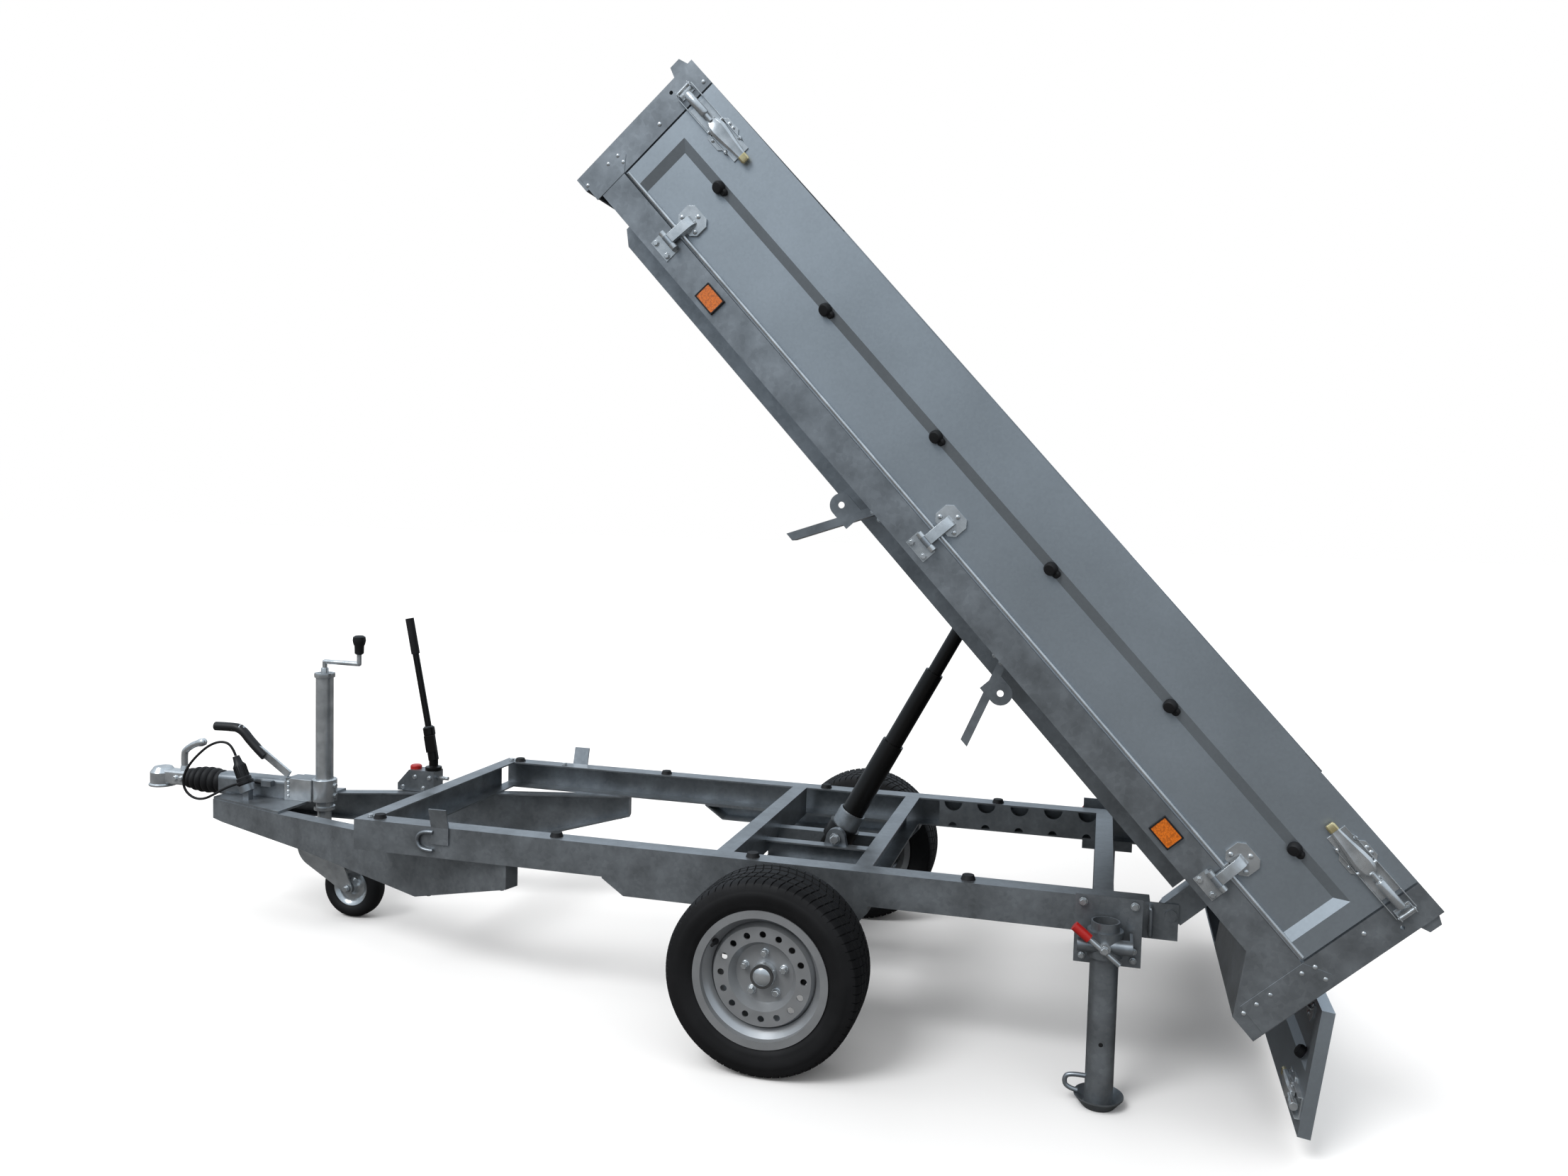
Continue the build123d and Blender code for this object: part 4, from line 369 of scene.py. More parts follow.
def mirrored(bm):
    """Adds the piece's other half, on the trailer's other side."""
    made = bmesh.ops.duplicate(bm, geom=bm.verts[:] + bm.edges[:] + bm.faces[:])["geom"]
    for vertex in (item for item in made if isinstance(item, bmesh.types.BMVert)):
        vertex.co.y = -vertex.co.y


def add_piece(name, body, slot, bm, edge=0.0, material=None, sharp=35, flip=False):
    """Makes a mesh object of the piece, gives it its finish, and hangs it on its body."""
    if flip:
        for vertex in bm.verts:
            vertex.co.y = -vertex.co.y
    bmesh.ops.recalc_face_normals(bm, faces=bm.faces[:])
    mesh = bpy.data.meshes.new(name)
    bm.to_mesh(mesh)
    bm.free()
    piece = bpy.data.objects.new(name, mesh)
    bpy.context.collection.objects.link(piece)
    mesh.materials.append(material or looks[slot])
    mesh.shade_smooth()
    mesh.set_sharp_from_angle(angle=radians(sharp))
    if edge:
        rounding = piece.modifiers.new("edges", "BEVEL")
        rounding.width = edge
        rounding.segments = 2
        rounding.limit_method = "ANGLE"
        rounding.harden_normals = True
    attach(piece, body)
    return piece


def in_plane(y, line):
    """Places on the chassis from pairs of x and z, all as far across."""
    return [at(x, y, z) for x, z in line]


def add_rod(name, body, slot, points, radius):
    """A bent rod along a smooth line, as a curve with a round section and closed ends."""
    data = bpy.data.curves.new(name, "CURVE")
    data.dimensions = "3D"
    data.bevel_depth = radius
    data.bevel_resolution = 4
    data.resolution_u = 6
    data.use_fill_caps = True
    spline = data.splines.new("NURBS")
    spline.points.add(len(points) - 1)
    for control, point in zip(spline.points, points):
        control.co = (*point, 1)
    spline.order_u = 3
    spline.use_endpoint_u = True
    data.materials.append(looks[slot])
    piece = bpy.data.objects.new(name, data)
    bpy.context.collection.objects.link(piece)
    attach(piece, body)
    return piece


# Lamp cable: from its gland on the housing round in a loop to the parked plug
CABLE_DIAMETER = 0.009
PLUG_MOUTH = Vector((-2.094, -0.080, 0.436))
PLUG_TAIL = Vector((-2.145, -0.080, 0.555))
plug_way = (PLUG_TAIL - PLUG_MOUTH).normalized()
cable_places = (
    (-2.060, -0.045, 0.457),
    (-2.105, -0.045, 0.457),
    (-2.151, -0.046, 0.450),
    (-2.200, -0.057, 0.433),
    (-2.247, -0.066, 0.405),
    (-2.290, -0.072, 0.383),
    (-2.334, -0.075, 0.385),
    (-2.368, -0.078, 0.413),
    (-2.371, -0.081, 0.457),
    (-2.346, -0.083, 0.503),
    (-2.306, -0.084, 0.545),
    (-2.257, -0.083, 0.585),
    (-2.206, -0.081, 0.604),
    tuple(PLUG_TAIL + plug_way * 0.042),
    tuple(PLUG_TAIL),
)
cable = add_rod(
    "lamp_cable_line", "chassis", "black_rubber", [at(*place) for place in cable_places], CABLE_DIAMETER / 2
)
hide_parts("lamp_cable")

# Plug: ribbed sleeve, collar and strain relief in place of the plain one
PLUG_ROWS = (
    (0, 0.001),
    (0.0245, 0.001),
    (0.0245, 0.024),
    (0.029, 0.025),
    (0.029, 0.033),
    (0.0255, 0.035),
    (0.0255, 0.046),
    (0.0215, 0.050),
    (0.0205, 0.094),
    (0.0150, 0.102),
    (0.0115, 0.128),
    (0, 0.1285),
)
PLUG_RIBS = 18
RIB_START, RIB_LENGTH = 0.052, 0.040
bm = bmesh.new()
plug_frame = set_at(at(*PLUG_MOUTH), plug_way)
revolve(bm, plug_frame, PLUG_ROWS, 32)
for rib in range(PLUG_RIBS):
    spoke = plug_frame @ Matrix.Rotation(2 * pi * rib / PLUG_RIBS, 4, "Z")
    prism(bm, spoke @ shift(0, 0, RIB_START), box_outline(0.0195, 0.0225, -0.0011, 0.0011), RIB_LENGTH)
plug = add_piece("lamp_plug_sleeve", "chassis", "black_plastic", bm)
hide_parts("lamp_plug")

# Tyres: the outer half section, outwards from the middle, with how deep the cross grooves are there
TREAD_ROWS = (
    (0.000, 0.2625, 0.003),
    (0.013, 0.2625, 0.003),
    (0.015, 0.2560, 0),
    (0.021, 0.2560, 0),
    (0.023, 0.2624, 0.004),
    (0.045, 0.2618, 0.004),
    (0.047, 0.2550, 0),
    (0.053, 0.2550, 0),
    (0.055, 0.2614, 0.004),
    (0.078, 0.2595, 0.004),
    (0.088, 0.2540, 0.0025),
    (0.0925, 0.2470, 0),
    (0.0955, 0.2370, 0),
    (0.0965, 0.2320, 0),
    (0.0975, 0.2300, 0),
    (0.0975, 0.2200, 0),
    (0.0955, 0.2080, 0),
    (0.0920, 0.1985, 0),
    (0.0915, 0.1955, 0),
    (0.0880, 0.1905, 0),
    (0.0845, 0.1840, 0),
    (0.0830, 0.1825, 0),
    (0.0830, 0.1690, 0),
)
LINER_ROWS = ((0.074, 0.169, 0), (0.0885, 0.222, 0), (0.078, 0.246, 0))
TREAD_PITCHES = 72
TREAD_STEPS = ((0.0, 0), (0.82, 0), (0.86, 1), (0.96, 1))
TREAD_SLANT = 0.9

half_section = [*TREAD_ROWS, *LINER_ROWS]
tyre_section = [(-y, r, d) for y, r, d in reversed(half_section)] + half_section[1:]
for side, name in ((-1, "left"), (1, "right")):
    bm = bmesh.new()
    columns = []
    for pitch in range(TREAD_PITCHES):
        for step, low in TREAD_STEPS:
            ring = []
            for across, radius, depth in tyre_section:
                turn = 2 * pi * (pitch + step) / TREAD_PITCHES + TREAD_SLANT * abs(across)
                reach = radius - depth * low
                x, z = AXLE_X + reach * cos(turn), TYRE_RADIUS + reach * sin(turn)
                ring.append(bm.verts.new((x, side * WHEEL_Y + across, z)))
            columns.append(ring)
    for first, second in zip(columns, columns[1:] + columns[:1]):
        for i in range(len(tyre_section)):
            j = (i + 1) % len(tyre_section)
            bm.faces.new((first[i], first[j], second[j], second[i]))
    tyre = add_piece(f"tread_{name}", f"wheel_{name}", "tyre", bm, sharp=28)
    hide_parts(f"tyre_{name}")

# Wheel bolts, dust cap and valve
WHEEL_BOLTS = 5
BOLT_CIRCLE = 0.056
DISC_FACE = 0.034
WASHER_ROWS = ((0, -0.002), (0.012, -0.002), (0.012, 0.003), (0.0105, 0.004), (0, 0.004))
WHEEL_BOLT_ROWS = ((0, 0.003), (0.0098, 0.003), (0.0098, 0.014), (0.0082, 0.0165), (0, 0.0165))
CAP_ROWS = (
    (0, 0),
    (0.0335, 0),
    (0.0335, 0.014),
    (0.0315, 0.022),
    (0.0260, 0.029),
    (0.0150, 0.034),
    (0, 0.0355),
)
VALVE_TURN = radians(148)
VALVE_CIRCLE, VALVE_SEAT = 0.150, 0.060
VALVE_ROWS = (
    (0, 0),
    (0.0085, 0),
    (0.0080, 0.006),
    (0.0055, 0.012),
    (0.0045, 0.026),
    (0.0045, 0.034),
    (0, 0.035),
)
for side, name in ((-1, "left"), (1, "right")):
    bm = bmesh.new()
    wheel = set_at(Vector((AXLE_X, side * WHEEL_Y, TYRE_RADIUS)), (0, side, 0), (1, 0, 0))
    for i in range(WHEEL_BOLTS):
        turn = radians(90) + 2 * pi * i / WHEEL_BOLTS
        seat = wheel @ shift(BOLT_CIRCLE * cos(turn), BOLT_CIRCLE * sin(turn), DISC_FACE)
        revolve(bm, seat, WASHER_ROWS, 20)
        revolve(bm, seat, WHEEL_BOLT_ROWS, 6)
    revolve(bm, wheel @ shift(0, 0, DISC_FACE), CAP_ROWS, 36)
    add_piece(f"wheel_bolts_{name}", f"wheel_{name}", "zinc_plated", bm, edge=0.0006)
    bm = bmesh.new()
    valve = wheel @ Matrix.Rotation(VALVE_TURN, 4, "Z") @ shift(VALVE_CIRCLE, 0, VALVE_SEAT)
    revolve(bm, valve, VALVE_ROWS, 16)
    add_piece(f"valve_{name}", f"wheel_{name}", "black_rubber", bm)

# Jockey wheel: rounded tyre, pressed rim and axle nuts
JOCKEY_X = -1.837
JOCKEY_AXLE_X = -1.711
JOCKEY_RADIUS = 0.110
JOCKEY_TYRE_ROWS = (
    (0.064, -0.024),
    (0.070, -0.030),
    (0.082, -0.0345),
    (0.094, -0.033),
    (0.104, -0.026),
    (0.1095, -0.013),
    (0.110, 0),
    (0.1095, 0.013),
    (0.104, 0.026),
    (0.094, 0.033),
    (0.082, 0.0345),
    (0.070, 0.030),
    (0.064, 0.024),
)
JOCKEY_RIM_HALF = (
    (0.0105, 0.034),
    (0.021, 0.034),
    (0.023, 0.018),
    (0.030, 0.012),
    (0.046, 0.012),
    (0.054, 0.022),
    (0.066, 0.027),
    (0.068, 0.023),
)
bm = bmesh.new()
jockey_axle = set_at(at(JOCKEY_AXLE_X, 0, JOCKEY_RADIUS), (0, 1, 0), (1, 0, 0))
revolve(bm, jockey_axle, JOCKEY_TYRE_ROWS, 64, ring=True)
jockey_tyre = add_piece("jockey_tyre", "jockey_wheel_body", "black_rubber", bm)
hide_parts("jockey_wheel")
bm = bmesh.new()
left_rows = [(radius, -across) for radius, across in JOCKEY_RIM_HALF]
revolve(bm, jockey_axle, left_rows + list(reversed(JOCKEY_RIM_HALF)), 48, ring=True)
add_piece("jockey_rim", "jockey_wheel_body", "zinc_plated", bm)
bm = bmesh.new()
bolt(bm, set_at(at(JOCKEY_AXLE_X, -0.051, JOCKEY_RADIUS), LEFT), 0.0095)
mirrored(bm)
add_piece("jockey_axle_nuts", "jockey_fork_body", "zinc_plated", bm, edge=0.0005)

# Jockey stand: collars on the tube, and the crank with its sleeve and knob
COLLAR_BORE = 0.0245
bm = bmesh.new()
for low, high, radius in ((0.372, 0.384, 0.036), (0.846, 0.862, 0.0345)):
    depth = high - low
    outside = ((radius, 0), (radius + 0.001, depth / 2), (radius, depth))
    rows = ((COLLAR_BORE, 0), *outside, (COLLAR_BORE, depth))
    revolve(bm, set_at(at(JOCKEY_X, 0, low), UP), rows, 40, ring=True)
add_piece("jockey_collars", "chassis", "zinc_plated", bm)
KNOB_X = -1.697
CRANK_LINE = (
    (JOCKEY_X, 0.850),
    (JOCKEY_X, 0.880),
    (JOCKEY_X, 0.9015),
    (JOCKEY_X, 0.9015),
    (JOCKEY_X + 0.020, 0.9015),
    (KNOB_X - 0.020, 0.9005),
    (KNOB_X, 0.9005),
    (KNOB_X, 0.9005),
    (KNOB_X, 0.920),
    (KNOB_X, 0.945),
)
crank = add_rod("crank_rod", "chassis", "zinc_plated", in_plane(0, CRANK_LINE), 0.0082)
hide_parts("jockey_crank")
bm = bmesh.new()
sleeve_rows = ((0, 0), (0.013, 0), (0.013, 0.022), (0.0115, 0.025), (0, 0.025))
revolve(bm, set_at(at(JOCKEY_X, 0, 0.855), UP), sleeve_rows, 24)
add_piece("crank_sleeve", "chassis", "zinc_plated", bm)
CRANK_KNOB_ROWS = (
    (0, 0),
    (0.010, 0),
    (0.0155, 0.004),
    (0.0165, 0.030),
    (0.0200, 0.038),
    (0.0225, 0.050),
    (0.0210, 0.062),
    (0.014, 0.067),
    (0, 0.0675),
)
bm = bmesh.new()
revolve(bm, set_at(at(KNOB_X, 0, 0.934), UP), CRANK_KNOB_ROWS, 24)
add_piece("crank_knob", "chassis", "black_plastic", bm)

# Jockey clamp: riveted plates on its sides, and the band round the tube
bm = bmesh.new()
clamp_face = set_at(at(-1.973, -0.0352, 0.403), LEFT, BACK)
prism(bm, clamp_face, ((0, 0), (0.110, 0), (0.110, 0.078), (0.026, 0.078), (0, 0.066)), 0.006)
for high in (0.014, 0.031, 0.048, 0.064):
    rivet(bm, clamp_face @ shift(0.016, high, 0.006), 0.0068)
mirrored(bm)
add_piece("clamp_plates", "chassis", "zinc_plated", bm, edge=0.0012)
BAND_FOOT = 0.404
band_rows = ((0.0310, 0), (0.0425, 0), (0.0425, 0.076), (0.0400, 0.0785), (0.0310, 0.0800))
bm = bmesh.new()
revolve(bm, set_at(at(JOCKEY_X, 0, BAND_FOOT), UP), band_rows, 40, ring=True)
for high in (0.020, 0.056):
    bolt(bm, set_at(at(JOCKEY_X + 0.0415, 0, BAND_FOOT + high), BACK), 0.0075)
add_piece("clamp_band", "chassis", "zinc_plated", bm, edge=0.0006)

# Handbrake: sleeve over the bend and grip
BRAKE_LINE = ((-2.086, 0.543), (-2.141, 0.587), (-2.187, 0.638), (-2.240, 0.640), (-2.297, 0.638))
add_rod("handbrake_sleeve", "chassis", "black_plastic", in_plane(0, BRAKE_LINE), 0.0165)

# Hand pump: black grip, lever, socket and ram over the plain ones, red cap, and bolts on its bracket
PUMP_Y = 0.272
PUMP_TOP = 0.479
GRIP_LINE = ((-1.6455, 0.911), (-1.659, 0.977), (-1.6725, 1.042))
LEVER_LINE = ((-1.588, 0.633), (-1.617, 0.774), (-1.647, 0.918))
SOCKET_ROWS = (
    (0, -0.002),
    (0.019, -0.002),
    (0.019, 0.090),
    (0.0215, 0.094),
    (0.0215, 0.120),
    (0.014, 0.126),
    (0, 0.127),
)
add_rod("pump_grip", "chassis", "black_rubber", in_plane(PUMP_Y, GRIP_LINE), 0.0155)
add_rod("pump_lever", "chassis", "hoist_black", in_plane(PUMP_Y, LEVER_LINE), 0.0118)
bm = bmesh.new()
socket = set_at(at(-1.567, PUMP_Y, 0.520), Vector((-0.023, 0, 0.123)), BACK)
revolve(bm, socket, SOCKET_ROWS, 28)
prism(bm, socket @ shift(-0.012, -0.024, 0.030), box_outline(0, 0.042, 0, 0.006), 0.062)
ram_rows = ((0, 0), (0.030, 0), (0.030, 0.014), (0.0165, 0.017), (0.0165, 0.041), (0, 0.041))
revolve(bm, set_at(at(-1.567, PUMP_Y, PUMP_TOP), UP), ram_rows, 28)
add_piece("pump_ram", "chassis", "hoist_black", bm, edge=0.001)
bm = bmesh.new()
cap_rows = ((0, 0), (0.021, 0), (0.021, 0.012), (0.017, 0.016), (0, 0.017))
revolve(bm, set_at(at(-1.640, PUMP_Y, PUMP_TOP), UP), cap_rows, 24)
add_piece("pump_cap", "chassis", "red_grip", bm)
bm = bmesh.new()
for x, z in ((-1.675, 0.415), (-1.590, 0.415), (-1.625, 0.455), (-1.565, 0.455)):
    for way in (LEFT, RIGHT):
        bolt(bm, set_at(at(x, PUMP_Y + way.y * 0.032, z), way), 0.0065)
fitting_rows = ((0, 0), (0.009, 0), (0.009, 0.022), (0.0075, 0.024), (0.0075, 0.044), (0, 0.044))
revolve(bm, set_at(at(-1.549, PUMP_Y, 0.452), BACK), fitting_rows, 6)
add_piece("pump_bolts", "chassis", "zinc_plated", bm, edge=0.0005)

# Prop legs: grips, foot loops, bolts on the plates, clamp barrels, and a thin black disc as painted shade for
# the hole low in each tube
LOOP_RADIUS = 0.006
LEG_X, LEG_Y = 0.854, 0.592
LEG_PLATE_Y = 0.554
GRIP_Y = 0.648
LEG_GRIP_LINE = ((0.779, 0.470), (0.797, 0.456), (0.816, 0.441))
FOOT_LOOP = ((-0.030, 0.070), (-0.074, 0.072), (-0.086, 0.056), (-0.080, 0.034), (-0.052, 0.030))
LARGE_BOLT, SMALL_BOLT = 0.008, 0.0065
LEG_BOLTS = (
    (0.798, 0.503, LARGE_BOLT),
    (0.924, 0.503, LARGE_BOLT),
    (0.924, 0.388, SMALL_BOLT),
    (0.924, 0.364, SMALL_BOLT),
    (0.798, 0.364, SMALL_BOLT),
)
CLAMP_HIGH = 0.4165
CLAMP_X = (0.787, 0.913)
CLAMP_RADIUS = 0.0185
HOLE_HIGH = 0.169
for side, name in ((-1, "left"), (1, "right")):
    grip_places = in_plane(side * GRIP_Y, LEG_GRIP_LINE)
    add_rod(f"leg_grip_{name}", "chassis", "red_grip", grip_places, 0.0125)
    loop_places = in_plane(side * LEG_Y, [(LEG_X + x, z) for x, z in FOOT_LOOP])
    add_rod(f"foot_loop_{name}", "chassis", "galvanised_steel", loop_places, LOOP_RADIUS)
bm = bmesh.new()
for x, z, half in LEG_BOLTS:
    bolt(bm, set_at(at(x, -LEG_PLATE_Y, z), LEFT), half)
bolt(bm, set_at(at(LEG_X, -0.655, 0.4175), LEFT), 0.0085)
mirrored(bm)
add_piece("leg_plate_bolts", "chassis", "zinc_plated", bm, edge=0.0005)
bm = bmesh.new()
revolve(bm, set_at(at(CLAMP_X[0], -0.6170, CLAMP_HIGH), BACK), drum(CLAMP_RADIUS, 0, 0.134), 32)
for x in CLAMP_X:
    strip = box_outline(-CLAMP_RADIUS, CLAMP_RADIUS, 0, 0.062)
    prism(bm, set_at(at(x, -0.556, CLAMP_HIGH), BACK, UP), strip, 0.008)
mirrored(bm)
add_piece("leg_clamp_barrels", "chassis", "galvanised_steel", bm, edge=0.001)
# A thin black disc on each tube: painted shade standing for the dark inside of the hole
bm = bmesh.new()
revolve(bm, set_at(at(LEG_X, -LEG_Y - 0.0342, HOLE_HIGH), LEFT), drum(0.0055, 0, 0.001), 20)
mirrored(bm)
add_piece("leg_hole_shade_discs", "chassis", "black_plastic", bm)

# Lashing loops on the rails: the rear ones stand across, the front ones along
REAR_LASHING_X = 0.964
REAR_LASHING = (
    (0.489, 0.421),
    (0.513, 0.421),
    (0.517, 0.421),
    (0.517, 0.425),
    (0.517, 0.485),
    (0.517, 0.489),
    (0.513, 0.489),
    (0.489, 0.489),
)
FRONT_LASHING_Y = 0.496
FRONT_LASHING = ((-1.096, 0.484), (-1.135, 0.486), (-1.155, 0.456), (-1.135, 0.426), (-1.096, 0.428))
for side, name in ((-1, "left"), (1, "right")):
    staple = [at(REAR_LASHING_X, side * y, z) for y, z in REAR_LASHING]
    add_rod(f"rear_lashing_{name}", "chassis", "galvanised_steel", staple, LOOP_RADIUS)
    ring = in_plane(side * FRONT_LASHING_Y, FRONT_LASHING)
    add_rod(f"front_lashing_{name}", "chassis", "galvanised_steel", ring, LOOP_RADIUS)

# Bolts that hold the drawbar arms: below along the slanting arms, and on top of the rails
ARM_FRONT_X, ARM_FRONT_Y = -2.231, 0.0933
ARM_SPREAD = (0.482 - ARM_FRONT_Y) / 1.371
ARM_BOLT_INSET = 0.025
bm = bmesh.new()
for x, z in ((-2.200, 0.322), (-2.085, 0.313), (-1.190, 0.246), (-0.890, 0.322)):
    y = -(ARM_FRONT_Y + (x - ARM_FRONT_X) * ARM_SPREAD) + ARM_BOLT_INSET
    bolt(bm, set_at(at(x, y, z), -UP), 0.0065)
for x in (-1.340, -1.120):
    bolt(bm, set_at(at(x, -0.450, 0.500), UP), 0.0075)
mirrored(bm)
add_piece("drawbar_bolts", "chassis", "zinc_plated", bm, edge=0.0005)

# Coupling handle: a round cast lever with a thick foot and end
HANDLE_X = -2.436
HANDLE_LINE = (
    (HANDLE_X, 0.455),
    (HANDLE_X, 0.492),
    (HANDLE_X, 0.529),
    (-2.428, 0.541),
    (-2.397, 0.562),
    (-2.365, 0.5715),
    (-2.349, 0.5765),
)
HANDLE_END_ROWS = (
    (0, 0),
    (0.0120, 0),
    (0.0138, 0.008),
    (0.0148, 0.020),
    (0.0135, 0.031),
    (0.0085, 0.0365),
    (0, 0.038),
)
HANDLE_FOOT_ROWS = ((0, 0), (0.0170, 0), (0.0165, 0.012), (0.0120, 0.030), (0, 0.032))
handle = add_rod("handle_lever", "chassis", "zinc_plated", in_plane(0, HANDLE_LINE), 0.0120)
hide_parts("coupling_handle")
bm = bmesh.new()
grip_foot, grip_top = in_plane(0, ((-2.378, 0.568), (-2.345, 0.577)))
revolve(bm, set_at(grip_foot, grip_top - grip_foot), HANDLE_END_ROWS, 24)
revolve(bm, set_at(at(HANDLE_X, 0, 0.452), UP), HANDLE_FOOT_ROWS, 24)
add_piece("handle_end", "chassis", "zinc_plated", bm, sharp=60)

# Coupling: fat folds in place of the shaft's plain bellows
# Columns: where a fold ends, the radius of its crown, and that of the valley behind it
BELLOWS_BORE = 0.0245
FOLD_ROWS = (
    (0.026, 0.0370, 0.0290),
    (0.053, 0.0430, 0.0340),
    (0.081, 0.0465, 0.0370),
    (0.109, 0.0475, 0.0380),
    (0.135, 0.0455, 0.0360),
    (0.158, 0.0410, 0.0345),
)
FOLD_STEPS = (0.12, 0.3, 0.5, 0.7, 0.88, 1)
bellows_low, bellows_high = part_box("shaft_bellows")
bm = bmesh.new()
start, foot = 0.001, 0.0300
fold_rows = [(BELLOWS_BORE, 0), (foot, start)]
for end, crown, valley in FOLD_ROWS:
    for share in FOLD_STEPS:
        radius = foot + (valley - foot) * share
        radius += (crown - (foot + valley) / 2) * sin(pi * share) ** 0.6 if share < 1 else 0
        fold_rows.append((radius, start + (end - start) * share))
    start, foot = end, valley
fold_rows.append((BELLOWS_BORE, start))
middle = (bellows_low.z + bellows_high.z) / 2
revolve(bm, set_at(Vector((bellows_low.x, 0, middle)), BACK), fold_rows, 40)
bellows = add_piece("bellows_folds", "chassis", "black_rubber", bm, sharp=50)
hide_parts("shaft_bellows")

# Coupling: bolts through the neck, and the rim round the cup
LIP_ROWS = ((0.026, 0), (0.047, 0), (0.049, 0.003), (0.049, 0.007), (0.0445, 0.011), (0.026, 0.011))
bm = bmesh.new()
revolve(bm, set_at(at(-2.532, 0, 0.401), UP), LIP_ROWS, 48, ring=True)
for x in (-2.452, -2.428):
    for way in (LEFT, RIGHT):
        bolt(bm, set_at(at(x, way.y * 0.028, 0.438), way), 0.008)
add_piece("coupling_trim", "chassis", "zinc_plated", bm, edge=0.0008)

# Hoist: galvanised foot over the barrel's head, and the nuts on its trunnions
TRUNNION = at(0.048, 0, 0.470)
HOIST_WAY = Vector((0.469936, 0, 0.882701))
FOOT_ROWS = (
    (0.0412, 0.0185),
    (0.0428, 0.0185),
    (0.0428, 0.0745),
    (0.0405, 0.0775),
    (0.0380, 0.0775),
    (0.0380, 0.0755),
)
bm = bmesh.new()
revolve(bm, set_at(TRUNNION, HOIST_WAY), FOOT_ROWS, 48, ring=True)
add_piece("hoist_foot", "barrel", "galvanised_steel", bm)
bm = bmesh.new()
bolt(bm, set_at(TRUNNION + LEFT * 0.0915, LEFT), 0.0125)
mirrored(bm)
add_piece("trunnion_nuts", "barrel", "zinc_plated", bm, edge=0.0006)

# Bed: knobs along the slanting step of each panel, the board and the gate
KNOB_ROWS = ((0, -0.004), (0.0150, -0.004), (0.0160, 0.002), (0.0160, 0.011), (0.0125, 0.0165), (0, 0.018))
BUTTON_ROWS = ((0, -0.004), (0.0095, -0.004), (0.0095, 0.009), (0.006, 0.012), (0, 0.012))
KNOB_FIRST, KNOB_PITCH, KNOB_COUNT = -2.1045, 0.413, 6
KNOBS_ACROSS = (-0.6195, -0.2065, 0.2065, 0.6195)
KNOB_HIGH = 0.362
PANEL_STEP_Y = -0.769
BOARD_STEP_ALONG = -2.382
GATE_STEP_DOWN, GATE_STEP_BEHIND = 0.185, 0.018
STEP_OUT = 0.447


def knob_on(bm, seat):
    """A rubber stop: a round dome with a smaller one beside it."""
    revolve(bm, seat, KNOB_ROWS, 20)
    revolve(bm, seat @ shift(0.018, 0, -0.002), BUTTON_ROWS, 16)


def off_step(out, up):
    """The way square to the step, from the ways out of its face and up it."""
    return out * (1 - STEP_OUT**2) ** 0.5 - up * STEP_OUT


for side, name in ((-1, "left"), (1, "right")):
    bm = bmesh.new()
    for i in range(KNOB_COUNT):
        place = bed(KNOB_FIRST + i * KNOB_PITCH, PANEL_STEP_Y, KNOB_HIGH)
        knob_on(bm, set_at(place, off_step(LEFT, BED_UP), BED_BACK))
    add_piece(f"panel_knobs_{name}", f"panel_{name}", "black_rubber", bm, flip=side > 0)
bm = bmesh.new()
for across in KNOBS_ACROSS:
    place = bed(BOARD_STEP_ALONG, across, KNOB_HIGH)
    knob_on(bm, set_at(place, off_step(-BED_BACK, BED_UP), RIGHT))
add_piece("board_knobs", "bed", "black_rubber", bm)
bm = bmesh.new()
for across in KNOBS_ACROSS:
    place = gate(GATE_STEP_DOWN, across, GATE_STEP_BEHIND)
    knob_on(bm, set_at(place, off_step(-GATE_BEHIND, GATE_DOWN), RIGHT))
add_piece("gate_knobs", "gate", "black_rubber", bm)

# Over-centre latches: lever rows are along, half width, underside and crown
LEVER_ROWS = (
    (0.062, 0.0110, 0.006, 0.0170),
    (0.074, 0.0180, 0.006, 0.0225),
    (0.092, 0.0215, 0.006, 0.0240),
    (0.112, 0.0195, 0.006, 0.0235),
    (0.150, 0.0140, 0.007, 0.0205),
    (0.184, 0.0105, 0.008, 0.0175),
)
LEVER_SECTION = ((-1, 0), (-1, 0.72), (-0.66, 1), (0, 0.93), (0.66, 1), (1, 0.72), (1, 0))
TIP_ROWS = ((0.182, 0.0112, 0.007, 0.0180), (0.196, 0.0112, 0.007, 0.0180), (0.201, 0.0090, 0.009, 0.0160))
TIP_SECTION = ((-1, 0.3), (-0.7, 0), (0.7, 0), (1, 0.3), (1, 0.7), (0.7, 1), (-0.7, 1), (-1, 0.7))
PLATE_SCREWS = ((0.098, 0.0285), (0.112, 0.0285), (0.098, -0.0285), (0.142, -0.0240), (0.142, 0.0240))


